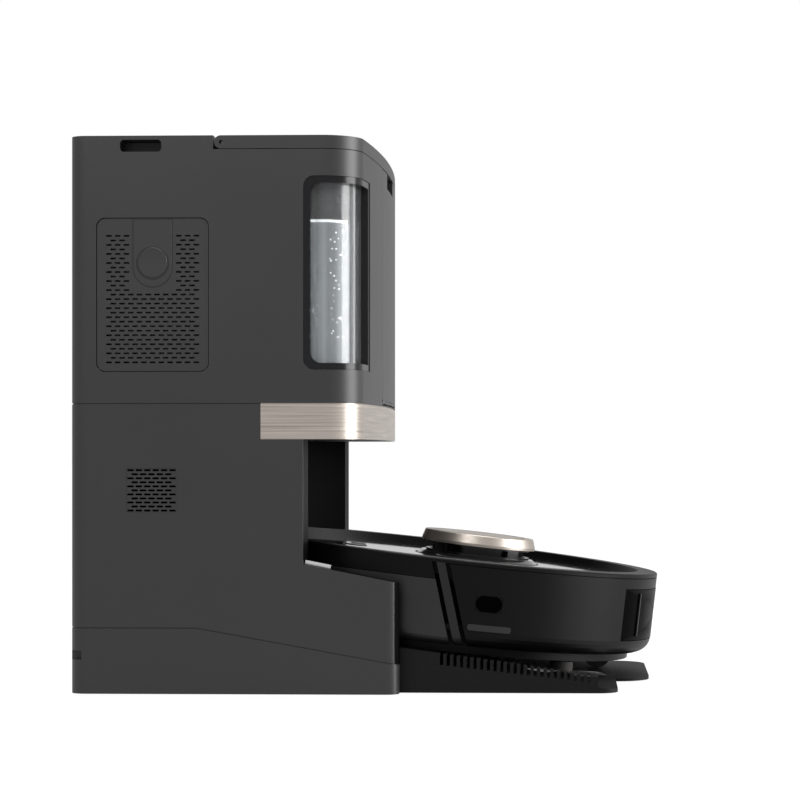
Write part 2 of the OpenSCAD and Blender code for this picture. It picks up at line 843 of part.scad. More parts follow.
// Everything in front of the slanted split, shifted forwards
module ahead(shift) {
  across(-robot_r - 1, robot_r + 1) polygon([[split_x(0) + shift, 0],
    [robot_r + 2, 0], [robot_r + 2, rim_h + 1], [split_x(rim_h + 1) + shift, rim_h + 1]]);
}

// Everything behind the slanted split, shifted forwards
module behind(shift) {
  across(-robot_r - 1, robot_r + 1) polygon([[split_x(0) + shift, 0], [-robot_r - 2, 0],
    [-robot_r - 2, rim_h + 1], [split_x(rim_h + 1) + shift, rim_h + 1]]);
}

// The skirt's wall, with a rounded lower edge
module skirt_wall(top) {
  function edge(r) = [for (a = [0 : -15 : -90])
    [robot_r - edge_r + r * cos(a), skirt_z + edge_r + r * sin(a)]];
  inner = edge(edge_r - skirt_t);
  rotate_extrude($fn = 180) polygon(concat([[robot_r, top]], edge(edge_r),
    [for (i = [len(inner) - 1 : -1 : 0]) inner[i]], [[shell_r, top]]));
}

// ---- Robot, body ----

module robot_base() {
  color(black) robot() difference() {
    union() {
      translate([0, 0, belly_z]) cylinder(r = belly_r, h = belly_t, $fn = 180);
      intersection() {
        translate([0, 0, flange_z]) cylinder(r = shell_r, h = flange_t, $fn = 180);
        behind(strip_w - bumper_travel);
      }
      translate([0, 0, flange_z]) cylinder(r = belly_r, h = flange_t, $fn = 180);
      for (a = [30 : 60 : 330]) rotate([0, 0, a]) translate([plate_r - 8, 0, flange_z])
        cylinder(r = boss_r, h = plate_z - 2 * plate_t + 1 - flange_z);
      for (s = [-1, 1]) translate([arm_x, s * (wheel_y - wheel_w / 2 - 16), flange_z])
        block([-arm_r, arm_r], [-6, 6], [0, wheel_z + arm_r - flange_z]);
    }
    for (s = [-1, 1]) {
      block([arm_x - 12, wheel_r + 5], [s * wheel_y - wheel_w / 2 - 10, s * wheel_y + wheel_w / 2 + 3]
        + (s > 0 ? [0, 0] : [7, 7]), [0, rim_h]);
      translate([mop_x, s * mop_y, 0]) cylinder(r = spindle_r + pin_fit, h = rim_h);
    }
    block([brush_x - brush_r - 2, brush_x + brush_r + 2], [-brush_l / 2 - 1, brush_l / 2 + 1],
      [0, brush_z + brush_r + 1]);
    for (s = [-1, 1]) translate([brush_x, s * (brush_l / 2 + 6), brush_z]) rotate([90, 0, 0])
      cylinder(r = 3 + pin_fit, h = 14, center = true);
    translate([caster_x, 0, 0]) cylinder(r = fork_r + run_gap, h = fork_top + run_gap);
    translate([caster_x, 0, 0]) cylinder(r = 3 + pin_fit, h = rim_h);
    translate(side_brush_pos) cylinder(r = 3 + pin_fit, h = rim_h);
    for (s = [-1, 1]) translate([arm_x, s * (wheel_y - wheel_w / 2 - 12), wheel_z])
      rotate([90, 0, 0]) cylinder(r = 3 + pin_fit, h = 24, center = true);
  }
}

module rear_skirt() {
  color(black) robot() difference() {
    intersection() {
      skirt_wall(cover_split_z - seam / 2);
      behind(-strip_gap / 2);
    }
    contact_pockets();
  }
}

module contact_pockets() {
  for (s = [-1, 1]) block([-robot_r - 1, 0],
    [s * contact_y - contact_half_w - 2, s * contact_y + contact_half_w + 2],
    [contact_up - contact_h / 2 - 2, contact_up + contact_h / 2 + 2]);
}

module robot_contacts() {
  color("silver") robot() intersection() {
    translate([0, 0, skirt_z]) tube(robot_r, shell_r, plate_z - skirt_z);
    contact_pockets();
  }
}

module side_strips() {
  color("#2c2c2c") robot() intersection() {
    skirt_wall(bumper_top_z + run_gap);
    ahead(strip_gap / 2);
    behind(strip_w - strip_gap / 2);
  }
}

module robot_cover() {
  color(black) robot() {
    // rim with a ledge under the glossy plate
    rotate_extrude($fn = 180) polygon([[plate_r - 8, plate_z - 2 * plate_t + 1],
      [ledge_r, plate_z - 2 * plate_t + 1], [ledge_r, bumper_top_z + run_gap],
      [robot_r, bumper_top_z + run_gap], [robot_r, rim_h - 0.8], [robot_r - 0.8, rim_h],
      [plate_r + 1, rim_h], [plate_r, plate_z], [plate_r, plate_z - plate_t],
      [plate_r - 8, plate_z - plate_t]]);
    // wall over the rear skirt, with the web that joins it to the ledge
    intersection() {
      union() {
        translate([0, 0, cover_split_z])
          tube(robot_r, shell_r, bumper_top_z + run_gap - cover_split_z);
        translate([0, 0, plate_z - 2 * plate_t + 1])
          tube(shell_r + 1, ledge_r - 1, bumper_top_z + run_gap - plate_z + 2 * plate_t - 1);
      }
      behind(-strip_gap / 2);
    }
  }
}

module top_plate() {
  color(black) robot() difference() {
    translate([0, 0, plate_z - plate_t]) cylinder(r = plate_r, h = plate_t, $fn = 180);
    for (b = button_places) translate([b[0], b[1], 0]) {
      cylinder(r = b[2] + 0.4, h = rim_h);
    }
  }
}

// Buttons: place and radius
button_places = [[button_x, -12, 9], [button_x, 14, 6]];

module button(b) {
  color("#303030") robot() translate([b[0], b[1], plate_z - plate_t]) {
    cylinder(r = b[2], h = plate_t + 0.5);
  }
}

module power_button() { button(button_places[0]); }
module home_button() { button(button_places[1]); }

turret_base_h = 3;
cage_h = 8;
cage_r = cap_r - 4;
rotor_r = cage_r - 5;
cap_h = 9;

module turret_base() {
  color(black) robot() translate([turret_x, 0, plate_z]) {
    rotate_extrude() polygon([[0, 0], [cap_r + 3, 0], [cap_r - 1, turret_base_h],
      [0, turret_base_h]]);
    cylinder(r = 5, h = turret_base_h + 4);
  }
}

// Four posts with a ring carry the cap and leave the scanner a view
module lidar_cage() {
  color(black) robot() translate([turret_x, 0, plate_z + turret_base_h]) difference() {
    tube(cage_r, cage_r - 3, cage_h);
    translate([0, 0, 1.5]) difference() {
      cylinder(r = cap_r, h = cage_h - 3);
      for (a = [45 : 90 : 315]) rotate([0, 0, a]) block([0, cap_r], [-6, 6], [-1, cage_h]);
    }
  }
}

module lidar_rotor() {
  color("#101010") robot() translate([turret_x, 0, plate_z + turret_base_h + run_gap])
    difference() {
      cylinder(r = rotor_r, h = cage_h - 2 * run_gap);
      translate([0, 0, -1]) cylinder(r = 5 + pin_fit, h = 6);
      for (s = [-1, 1]) block([rotor_r - 10, rotor_r + 1], [s * 12 - 5, s * 12 + 5],
        [1.5, cage_h - 2.5]);
    }
}

module turret_cap() {
  color(champagne) robot() translate([turret_x, 0, plate_z + turret_base_h + cage_h])
    rotate_extrude() polygon([[0, 0], [cap_r, 0], [cap_r, 2], [cap_r - 2, cap_h - 0.6],
      [cap_r - 2.6, cap_h], [0, cap_h]]);
}

module battery() {
  color("#203a5a") robot() block([mop_x - 40, mop_x + 24], [-36, 36],
    [flange_z + flange_t, flange_z + flange_t + 32]);
}

module dust_bin() {
  color("#444444") robot() block([mop_x + 30, brush_x - brush_r - 4], [-70, 70],
    [flange_z + flange_t, plate_z - plate_t - 2]);
}

module brush_guard() {
  x = [brush_x - brush_r - 8, brush_x + brush_r + 8];
  y = [-brush_l / 2 - 10, brush_l / 2 + 10];
  color("#2c2c2c") robot() translate([0, 0, belly_z - guard_t]) difference() {
    linear_extrude(guard_t) rounded(x, y, 5);
    block([x[0] + 7, x[1] - 7], [y[0] + 9, y[1] - 9], [-1, guard_t + 1]);
  }
}

// ---- Robot, bumper ----

window_half_a = 32;
window_low = 30;
window_high = 71;
side_window_a = 75;

// A wedge of the skirt's outer layer between two angles and two heights
module skirt_patch(a0, a1, z0, z1, depth) {
  intersection() {
    translate([0, 0, z0]) tube(robot_r, robot_r - depth, z1 - z0);
    linear_extrude(rim_h) polygon([[0, 0], 2 * robot_r * [cos(a0), sin(a0)],
      2 * robot_r * [cos((a0 + a1) / 2), sin((a0 + a1) / 2)],
      2 * robot_r * [cos(a1), sin(a1)]]);
  }
}

module bumper_patches() {
  skirt_patch(-window_half_a, window_half_a, window_low, window_high, 2);
  for (s = [-1, 1]) skirt_patch(s * side_window_a - 3.4, s * side_window_a + 3.4, 45.7, 58, 2);
}

module bumper() {
  color(black) robot() difference() {
    intersection() {
      skirt_wall(bumper_top_z);
      ahead(strip_w + strip_gap / 2);
    }
    bumper_patches();
  }
}

module bumper_windows() {
  color("#080808") robot() bumper_patches();
}

// ---- Robot, running gear ----

// Wheel arm: pivots behind the axle and stands on the wheel's inner side
module wheel_arm(s) {
  y = s * (wheel_y - wheel_w / 2 - 1 - arm_t / 2);
  color("#2c2c2c") robot() {
    translate([0, y, 0]) across(-arm_t / 2, arm_t / 2) {
      translate([arm_x, wheel_z]) circle(arm_r);
      translate([0, wheel_z]) circle(arm_r);
      translate([arm_x, wheel_z - arm_r / 2]) square([-arm_x, arm_r]);
    }
    translate([arm_x, y - s * 5, wheel_z]) rotate([90, 0, 0])
      cylinder(r = 3, h = arm_t + 10, center = true);
    translate([0, s * wheel_y - s * 1, wheel_z]) rotate([90, 0, 0])
      cylinder(r = axle_r, h = wheel_w + 2, center = true);
  }
}

module wheel_arm_left() { wheel_arm(1); }
module wheel_arm_right() { wheel_arm(-1); }

module drive_wheel(s) {
  treads = 24;
  color("#222222") robot() translate([0, s * wheel_y, wheel_z]) rotate([90, 0, 0])
    difference() {
      cylinder(r = wheel_r, h = wheel_w, center = true);
      cylinder(r = axle_r + pin_fit, h = wheel_w + 2, center = true);
      for (i = [0 : treads - 1]) rotate([0, 0, i * 360 / treads])
        translate([wheel_r, 0, 0]) cube([4, 3, wheel_w + 1], center = true);
      translate([0, 0, s > 0 ? -wheel_w / 2 : wheel_w / 2 - 3]) tube(wheel_r - 7, axle_r + 4, 3);
    }
}

module drive_wheel_left() { drive_wheel(1); }
module drive_wheel_right() { drive_wheel(-1); }

module caster_fork() {
  color("#2c2c2c") robot() translate([caster_x, 0, 0]) difference() {
    union() {
      translate([0, 0, belly_z - 1]) cylinder(r = fork_r, h = fork_top - belly_z + 1);
      translate([0, 0, fork_top]) cylinder(r = 3, h = 6);
      for (s = [-1, 1]) translate([-caster_trail / 2, s * 9.5, 0]) across(-1.5, 1.5) {
        translate([0, caster_z]) circle(4);
        translate([-4, caster_z]) square([8, 8]);
      }
    }
    block([-fork_r - 1, fork_r + 1], [-7.5, 7.5], [0, caster_z + caster_r + run_gap]);
    translate([-caster_trail / 2, 0, caster_z]) rotate([90, 0, 0])
      cylinder(r = pin_r + pin_fit, h = 40, center = true);
  }
}

module caster_wheel() {
  color("#222222") robot() translate([caster_x - caster_trail / 2, 0, caster_z])
    rotate([90, 0, 0]) {
      difference() {
        cylinder(r = caster_r, h = 14, center = true);
        for (z = [-4 : 4 : 4]) translate([0, 0, z - 0.6]) tube(caster_r + 1, caster_r - 1, 1.2);
      }
      cylinder(r = pin_r, h = 21, center = true);
    }
}

module main_brush() {
  color("#5a2020") robot() translate([brush_x, 0, brush_z]) rotate([90, 0, 0]) {
    cylinder(r = brush_r - 6, h = brush_l - 2, center = true);
    cylinder(r = 3, h = brush_l + 16, center = true);
    for (a = [0 : 60 : 300]) rotate([0, 0, a]) block([brush_r - 8, brush_r - 0.1], [-1.5, 1.5],
      [-brush_l / 2 + 3, brush_l / 2 - 3]);
  }
}

module side_brush() {
  color("#222222") robot() translate([side_brush_pos[0], side_brush_pos[1], 0]) {
    translate([0, 0, 4]) cylinder(r = 9, h = belly_z - run_gap - 4);
    translate([0, 0, 4]) cylinder(r = 3, h = belly_z + belly_t - 4);
    for (a = [0 : 72 : 288]) rotate([0, 0, a]) block([0, side_brush_r], [-2.5, 2.5], [2, 5]);
  }
}

module mop(s) {
  pad_t = 5;
  color("#8a8f96") robot() translate([mop_x, s * mop_y, 0]) {
    translate([0, 0, deck_gap]) cylinder(r = mop_r, h = pad_t);
    translate([0, 0, deck_gap + pad_t]) cylinder(r = mop_r - 3, h = 3);
    translate([0, 0, deck_gap + pad_t + 3]) cylinder(r = spindle_r, h = flange_z - pad_t);
  }
}

module mop_left() { mop(1); }
module mop_right() { mop(-1); }

base_tray();
ramp();
ramp_shoulder_left();
ramp_shoulder_right();
wash_board();
rubber_feet();
lower_housing();
bay_ceiling();
trim_band();
lower_grille();
power_inlet();
dock_contacts();
sill_sensors();
water_pump();
circuit_board();
upper_housing();
window_frame();
window_lens();
clean_tank();
clean_tank_cap();
clean_water();
dirty_tank();
dirty_tank_cap();
dust_bag();
suction_motor();
exhaust_filter();
lid_pin();
door_pin();
cover_pin();
lid();
dust_door();
side_cover();
cover_latch();
robot_base();
rear_skirt();
side_strips();
robot_cover();
top_plate();
turret_base();
lidar_cage();
turret_cap();
battery();
dust_bin();
brush_guard();
robot_contacts();
lidar_rotor();
bumper();
bumper_windows();
power_button();
home_button();
wheel_arm_left();
wheel_arm_right();
drive_wheel_left();
drive_wheel_right();
caster_fork();
caster_wheel();
main_brush();
side_brush();
mop_left();
mop_right();
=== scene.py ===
# A round mopping robot vacuum, parked nose-down on the ramp of its wash station.
# X is the front, Y the left, Z up, in metres. The pieces follow in the order of assembly.
import json
import math
import bmesh
import bpy
from mathutils import Matrix, Vector


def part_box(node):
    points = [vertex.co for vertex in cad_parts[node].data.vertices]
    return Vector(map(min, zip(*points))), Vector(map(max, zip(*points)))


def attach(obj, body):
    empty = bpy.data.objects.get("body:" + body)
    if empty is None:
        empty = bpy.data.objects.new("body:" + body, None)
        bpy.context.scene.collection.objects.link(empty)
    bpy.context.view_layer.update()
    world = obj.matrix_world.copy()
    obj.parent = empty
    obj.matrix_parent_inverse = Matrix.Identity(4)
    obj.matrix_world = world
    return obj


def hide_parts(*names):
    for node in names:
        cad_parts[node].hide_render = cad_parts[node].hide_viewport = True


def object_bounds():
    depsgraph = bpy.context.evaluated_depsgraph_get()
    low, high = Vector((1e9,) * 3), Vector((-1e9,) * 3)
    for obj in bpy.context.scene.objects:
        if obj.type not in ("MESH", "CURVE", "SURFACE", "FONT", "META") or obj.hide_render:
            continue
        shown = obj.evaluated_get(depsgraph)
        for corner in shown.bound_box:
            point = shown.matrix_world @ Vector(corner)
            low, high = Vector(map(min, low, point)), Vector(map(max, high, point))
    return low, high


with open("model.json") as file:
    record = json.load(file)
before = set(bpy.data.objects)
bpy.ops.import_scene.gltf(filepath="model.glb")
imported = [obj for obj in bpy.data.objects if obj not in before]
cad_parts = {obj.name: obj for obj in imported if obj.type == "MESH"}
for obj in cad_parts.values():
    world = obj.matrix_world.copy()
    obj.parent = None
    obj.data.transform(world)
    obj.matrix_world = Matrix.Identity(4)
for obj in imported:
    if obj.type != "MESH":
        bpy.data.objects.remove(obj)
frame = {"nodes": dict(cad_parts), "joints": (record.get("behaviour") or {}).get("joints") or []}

cad_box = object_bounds()
nodes = frame["nodes"]


# ---- Charcoal housings of the station ----
# The tray, the housings, the lid and the covers are injection-moulded in one dark plastic.
# Its satin face has a fine spark-eroded grain, a little uneven in gloss.

def grain_group():
    """Fine moulded grain: a colour that varies a little, a roughness and a bumped normal."""
    group = bpy.data.node_groups.new("moulded_grain", "ShaderNodeTree")
    face = group.interface
    for name, kind, value in (("Color", "NodeSocketColor", (0.05, 0.05, 0.05, 1)),
                              ("Vary", "NodeSocketFloat", 0.1), ("Rough", "NodeSocketFloat", 0.5),
                              ("Rough Vary", "NodeSocketFloat", 0.05),
                              ("Scale", "NodeSocketFloat", 900.0),
                              ("Depth", "NodeSocketFloat", 0.1),
                              ("Along", "NodeSocketVector", (1.0, 1.0, 1.0))):
        face.new_socket(name, in_out="INPUT", socket_type=kind).default_value = value
    for name, kind in (("Color", "NodeSocketColor"), ("Roughness", "NodeSocketFloat"),
                       ("Normal", "NodeSocketVector")):
        face.new_socket(name, in_out="OUTPUT", socket_type=kind)
    add, link = group.nodes.new, group.links.new
    source, sink = add("NodeGroupInput"), add("NodeGroupOutput")
    place, stretch = add("ShaderNodeTexCoord"), add("ShaderNodeVectorMath")
    stretch.operation = "MULTIPLY"
    link(place.outputs["Object"], stretch.inputs[0])
    link(source.outputs["Along"], stretch.inputs[1])
    fine, broad = add("ShaderNodeTexNoise"), add("ShaderNodeTexNoise")
    fine.inputs["Detail"].default_value = 3
    broad.inputs["Scale"].default_value = 14
    for noise in (fine, broad):
        link(stretch.outputs[0], noise.inputs["Vector"])
    link(source.outputs["Scale"], fine.inputs["Scale"])
    blend = add("ShaderNodeMath")
    blend.operation = "ADD"
    link(fine.outputs["Fac"], blend.inputs[0])
    link(broad.outputs["Fac"], blend.inputs[1])
    centre = add("ShaderNodeMath")
    centre.operation = "SUBTRACT"
    centre.inputs[1].default_value = 1.0
    link(blend.outputs[0], centre.inputs[0])

    def swing(amount, base):
        part = add("ShaderNodeMath")
        part.operation = "MULTIPLY_ADD"
        link(centre.outputs[0], part.inputs[0])
        link(source.outputs[amount], part.inputs[1])
        if base is None:
            part.inputs[2].default_value = 1.0
        else:
            link(source.outputs[base], part.inputs[2])
        return part.outputs[0]

    tint = add("ShaderNodeVectorMath")
    tint.operation = "SCALE"
    link(source.outputs["Color"], tint.inputs[0])
    link(swing("Vary", None), tint.inputs["Scale"])
    link(tint.outputs[0], sink.inputs["Color"])
    link(swing("Rough Vary", "Rough"), sink.inputs["Roughness"])
    bump = add("ShaderNodeBump")
    bump.inputs["Distance"].default_value = 0.0004
    link(source.outputs["Depth"], bump.inputs["Strength"])
    link(fine.outputs["Fac"], bump.inputs["Height"])
    link(bump.outputs[0], sink.inputs["Normal"])
    return group


GRAIN = grain_group()


def finish(name, color, rough=0.5, vary=0.15, rough_vary=0.06, scale=900.0, depth=0.12,
           along=(1, 1, 1), **shader):
    """A material of one colour with the moulded grain; shader holds plain socket values."""
    material = bpy.data.materials.new(name)
    material.use_nodes = True
    tree = material.node_tree
    surface = tree.nodes["Principled BSDF"]
    grain = tree.nodes.new("ShaderNodeGroup")
    grain.node_tree = GRAIN
    values = {"Color": (*color, 1), "Vary": vary, "Rough": rough, "Rough Vary": rough_vary,
              "Scale": scale, "Depth": depth, "Along": along}
    for key, value in values.items():
        grain.inputs[key].default_value = value
    tree.links.new(grain.outputs["Color"], surface.inputs["Base Color"])
    tree.links.new(grain.outputs["Roughness"], surface.inputs["Roughness"])
    tree.links.new(grain.outputs["Normal"], surface.inputs["Normal"])
    for key, value in shader.items():
        surface.inputs[key.replace("_", " ")].default_value = value
    return material


def dress(material, *names):
    """Gives one material to whole CAD nodes."""
    for name in names:
        slots = nodes[name].material_slots
        for one in slots:
            one.material = material
        if not slots:
            nodes[name].data.materials.append(material)


CHARCOAL = finish("charcoal_plastic", (0.017, 0.017, 0.018), rough=0.42, scale=1400, depth=0.10)
dress(CHARCOAL, "base_tray", "upper_housing", "lid", "dust_door")

# The parking bay is moulded in the same wall; inside it the plastic is painted near black and
# dull, a painted shade for the recess
LOWER_BAY_SHADED = finish("lower_housing_plastic_bay_shade", (0.017, 0.017, 0.018), rough=0.42, scale=1400, depth=0.10)


def paint_bay_shade(material, half_width, behind):
    """Paints shade: turns a material near black and dull wherever it lies inside the side walls, a
    painted shade over the inside of the bay.
    """
    tree = material.node_tree
    add, link = tree.nodes.new, tree.links.new
    surface = tree.nodes["Principled BSDF"]
    place, split = add("ShaderNodeTexCoord"), add("ShaderNodeSeparateXYZ")
    across, near, ahead, both = [add("ShaderNodeMath") for i in range(4)]
    across.operation, near.operation = "ABSOLUTE", "LESS_THAN"
    ahead.operation, both.operation = "GREATER_THAN", "MULTIPLY"
    near.inputs[1].default_value, ahead.inputs[1].default_value = half_width, behind
    link(place.outputs["Object"], split.inputs[0])
    link(split.outputs["Y"], across.inputs[0])
    link(across.outputs[0], near.inputs[0])
    link(split.outputs["X"], ahead.inputs[0])
    link(near.outputs[0], both.inputs[0])
    link(ahead.outputs[0], both.inputs[1])
    mix, shine = add("ShaderNodeMix"), add("ShaderNodeMapRange")
    mix.data_type = "RGBA"
    # The near-black colour is painted shade for the inside of the bay
    mix.inputs["B"].default_value = (0.003, 0.003, 0.003, 1)
    shine.inputs["To Min"].default_value, shine.inputs["To Max"].default_value = 0.5, 0.01
    link(both.outputs[0], mix.inputs["Factor"])
    link(surface.inputs["Base Color"].links[0].from_socket, mix.inputs["A"])
    link(mix.outputs["Result"], surface.inputs["Base Color"])
    link(both.outputs[0], shine.inputs["Value"])
    link(shine.outputs["Result"], surface.inputs["Specular IOR Level"])


SIDE_WALL = 0.0022
BAY_BACK = -0.03
paint_bay_shade(LOWER_BAY_SHADED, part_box("lower_housing")[1].y - SIDE_WALL, BAY_BACK)
dress(LOWER_BAY_SHADED, "lower_housing")


# ---- Vented side cover ----
# A thin moulded cover over the exhaust filter, with staggered rows of short slots.
# The slots leave a margin round the latch; the plate is cut from one outline.

def slotted_plate(name, low, high, corner, slot_size, pitch, margin, keep_out, thick, material,
                  rise=0.0):
    """A plate in X and Z with staggered slots; keep_out is the half width and foot of a tab."""
    tree = bpy.data.node_groups.new(name + "_slots", "GeometryNodeTree")
    face = tree.interface
    face.new_socket("Geometry", in_out="INPUT", socket_type="NodeSocketGeometry")
    face.new_socket("Geometry", in_out="OUTPUT", socket_type="NodeSocketGeometry")
    size = (high[0] - low[0], high[1] - low[1])
    columns = int((size[0] - 2 * margin[0] - slot_size[0]) / pitch[0]) + 1
    rows = int((size[1] - 2 * margin[1] - slot_size[1]) / pitch[1]) + 1
    sizes = {"Width": size[0], "Height": size[1], "Corner": corner, "Slot Length": slot_size[0],
             "Slot Height": slot_size[1], "Thickness": thick}
    for key, value in sizes.items():
        socket = face.new_socket(key, in_out="INPUT", socket_type="NodeSocketFloat")
        socket.default_value = value
    add, link = tree.nodes.new, tree.links.new
    source, sink = add("NodeGroupInput"), add("NodeGroupOutput")

    def round_box(width, height, radius):
        box = add("GeometryNodeCurvePrimitiveQuadrilateral")
        fillet = add("GeometryNodeFilletCurve")
        fillet.mode = "POLY"
        fillet.inputs["Count"].default_value = 4
        for value, socket in ((width, box.inputs["Width"]), (height, box.inputs["Height"]),
                              (radius, fillet.inputs["Radius"])):
            if isinstance(value, str):
                link(source.outputs[value], socket)
            else:
                socket.default_value = value
        link(box.outputs[0], fillet.inputs[0])
        return fillet.outputs[0]

    joined = add("GeometryNodeJoinGeometry")
    link(round_box("Width", "Height", "Corner"), joined.inputs[0])
    slot = round_box("Slot Length", "Slot Height", slot_size[1] * 0.49)
    for odd in (0, 1):
        count = columns - odd
        lines = (rows + 1 - odd) // 2
        grid = add("GeometryNodeMeshGrid")
        grid.inputs["Size X"].default_value = (count - 1) * pitch[0]
        grid.inputs["Size Y"].default_value = (lines - 1) * 2 * pitch[1]
        grid.inputs["Vertices X"].default_value = count
        grid.inputs["Vertices Y"].default_value = lines
        shift = add("GeometryNodeSetPosition")
        first = rise - (rows - 1) * pitch[1] / 2 + odd * pitch[1]
        middle = first + (lines - 1) * pitch[1]
        shift.inputs["Offset"].default_value = (0, middle, 0)
        link(grid.outputs[0], shift.inputs[0])
        points = shift.outputs[0]
        if keep_out:
            place, split = add("GeometryNodeInputPosition"), add("ShaderNodeSeparateXYZ")
            link(place.outputs[0], split.inputs[0])
            side, inside, above, both = [add("ShaderNodeMath") for i in range(4)]
            side.operation, inside.operation = "ABSOLUTE", "LESS_THAN"
            above.operation, both.operation = "GREATER_THAN", "MULTIPLY"
            inside.inputs[1].default_value = keep_out[0] + slot_size[0] / 2
            above.inputs[1].default_value = keep_out[1]
            link(split.outputs["X"], side.inputs[0])
            link(side.outputs[0], inside.inputs[0])
            link(split.outputs["Y"], above.inputs[0])
            link(inside.outputs[0], both.inputs[0])
            link(above.outputs[0], both.inputs[1])
            drop = add("GeometryNodeDeleteGeometry")
            link(points, drop.inputs[0])
            link(both.outputs[0], drop.inputs["Selection"])
            points = drop.outputs[0]
        spread, real = add("GeometryNodeInstanceOnPoints"), add("GeometryNodeRealizeInstances")
        link(points, spread.inputs["Points"])
        link(slot, spread.inputs["Instance"])
        link(spread.outputs[0], real.inputs[0])
        link(real.outputs[0], joined.inputs[0])
    if keep_out:
        tab = round_box(2 * keep_out[0] - 0.004, keep_out[2], keep_out[0] - 0.0025)
        lift = add("GeometryNodeTransform")
        lift.inputs["Translation"].default_value = (0, keep_out[3], 0)
        link(tab, lift.inputs[0])
        link(lift.outputs[0], joined.inputs[0])
    fill, walls, back = (add("GeometryNodeFillCurve"), add("GeometryNodeExtrudeMesh"),
                         add("GeometryNodeFlipFaces"))
    link(joined.outputs[0], fill.inputs[0])
    walls.inputs["Individual"].default_value = False
    link(fill.outputs[0], walls.inputs["Mesh"])
    link(source.outputs["Thickness"], walls.inputs["Offset Scale"])
    link(fill.outputs[0], back.inputs[0])
    solid, weld, stand = (add("GeometryNodeJoinGeometry"), add("GeometryNodeMergeByDistance"),
                          add("GeometryNodeTransform"))
    link(walls.outputs["Mesh"], solid.inputs[0])
    link(back.outputs[0], solid.inputs[0])
    weld.inputs["Distance"].default_value = 0.00001
    link(solid.outputs[0], weld.inputs[0])
    stand.inputs["Rotation"].default_value = (math.pi / 2, 0, 0)
    stand.inputs["Translation"].default_value = ((low[0] + high[0]) / 2, low[2],
                                                 (low[1] + high[1]) / 2)
    link(weld.outputs[0], stand.inputs[0])
    real, paint = add("GeometryNodeRealizeInstances"), add("GeometryNodeSetMaterial")
    paint.inputs["Material"].default_value = material
    link(stand.outputs[0], real.inputs[0])
    link(real.outputs[0], paint.inputs[0])
    link(paint.outputs[0], sink.inputs[0])
    return plain_mesh(name, tree, material)


def plain_mesh(name, tree, material):
    """Evaluates a node tree on an empty mesh and keeps the result as an ordinary piece."""
    seed = bpy.data.objects.new(name + "_seed", bpy.data.meshes.new(name + "_seed"))
    bpy.context.scene.collection.objects.link(seed)
    modifier = seed.modifiers.new("make", "NODES")
    modifier.node_group = tree
    graph = bpy.context.evaluated_depsgraph_get()
    mesh = bpy.data.meshes.new_from_object(seed.evaluated_get(graph))
    seed.modifiers.remove(modifier)
    bpy.data.objects.remove(seed)
    mesh.name = name
    if not mesh.materials:
        mesh.materials.append(material)
    piece = bpy.data.objects.new(name, mesh)
    bpy.context.scene.collection.objects.link(piece)
    return piece


def mount(piece, body, slot_name, *replaced):
    """Fixes a finished piece to a body and hides the CAD nodes it stands for; the slot name is not
    used.
    """
    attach(piece, body)
    if replaced:
        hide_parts(*replaced)
    return piece


cover_low, cover_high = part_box("side_cover")
tab_low, tab_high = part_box("cover_latch")
cover_mid = (cover_low + cover_high) / 2
tab_half = (tab_high.x - tab_low.x) / 2
TAB_PROUD = 0.00016
FACE_SINK = 0.0005
side_cover = slotted_plate(
    "vented_cover", (cover_low.x, cover_low.z, cover_high.y), (cover_high.x, cover_high.z),
    corner=0.0062, slot_size=(0.0044, 0.00135), pitch=(0.00653, 0.00336),
    margin=(0.0065, 0.0078),
    keep_out=(tab_half + 0.0023, tab_low.z - cover_mid.z - 0.004,
              tab_high.z - tab_low.z + 0.0006, (tab_low.z + tab_high.z) / 2 - cover_mid.z),
    thick=cover_high.y - cover_low.y - TAB_PROUD - FACE_SINK, material=CHARCOAL, rise=-0.0032)
mount(side_cover, "side_cover", "housing_plastic", "side_cover")


# ---- Latch tab of the side cover ----
# A sprung tab, round at its foot, with a dished disc for the thumb. A dark rim round the tab is
# painted shade for its gap, and a dark ring round the disc is painted shade for its groove.
# The disc leans in so that its foot is sunk.

def solid_piece(name, mesh_builder, material, smooth=30):
    """Runs a bmesh recipe and makes it an object with outward normals."""
    build = bmesh.new()
    mesh_builder(build)
    bmesh.ops.remove_doubles(build, verts=build.verts, dist=0.000002)
    bmesh.ops.recalc_face_normals(build, faces=build.faces)
    mesh = bpy.data.meshes.new(name)
    build.to_mesh(mesh)
    build.free()
    mesh.materials.append(material)
    mesh.shade_smooth()
    mesh.set_sharp_from_angle(angle=math.radians(smooth))
    piece = bpy.data.objects.new(name, mesh)
    bpy.context.scene.collection.objects.link(piece)
    return piece


def stack_rings(build, rings, cap_start=True, cap_end=True):
    """Skins a list of point rings, all of one length, and closes their ends."""
    loops = [[build.verts.new(point) for point in ring] for ring in rings]
    count = len(loops[0])
    for lower, upper in zip(loops, loops[1:]):
        for i in range(count):
            j = (i + 1) % count
            build.faces.new((lower[i], lower[j], upper[j], upper[i]))
    if cap_start:
        build.faces.new(list(reversed(loops[0])))
    if cap_end:
        build.faces.new(loops[-1])


def tab_outline(half, foot, top, y, inset=0.0):
    """The tab's outline at a depth y: a half round foot under straight sides."""
    middle = (tab_low.x + tab_high.x) / 2
    radius = half - inset
    arc = [math.pi + math.pi * i / 24 for i in range(25)]
    points = [(middle + radius * math.cos(a), y, foot + half + radius * math.sin(a)) for a in arc]
    return points + [(middle + radius, y, top - inset), (middle - radius, y, top - inset)]


THUMB_R = 0.011
thumb_at = Vector(((tab_low.x + tab_high.x) / 2, tab_low.y + FACE_SINK, tab_low.z + 0.0185))


def build_tab(build):
    edge = 0.0004
    half, foot, top = tab_half, tab_low.z, cover_high.z - 0.0007
    stack_rings(build, [tab_outline(half, foot, top, tab_high.y),
                        tab_outline(half, foot, top, tab_low.y + FACE_SINK + edge),
                        tab_outline(half, foot, top, tab_low.y + FACE_SINK, edge)])
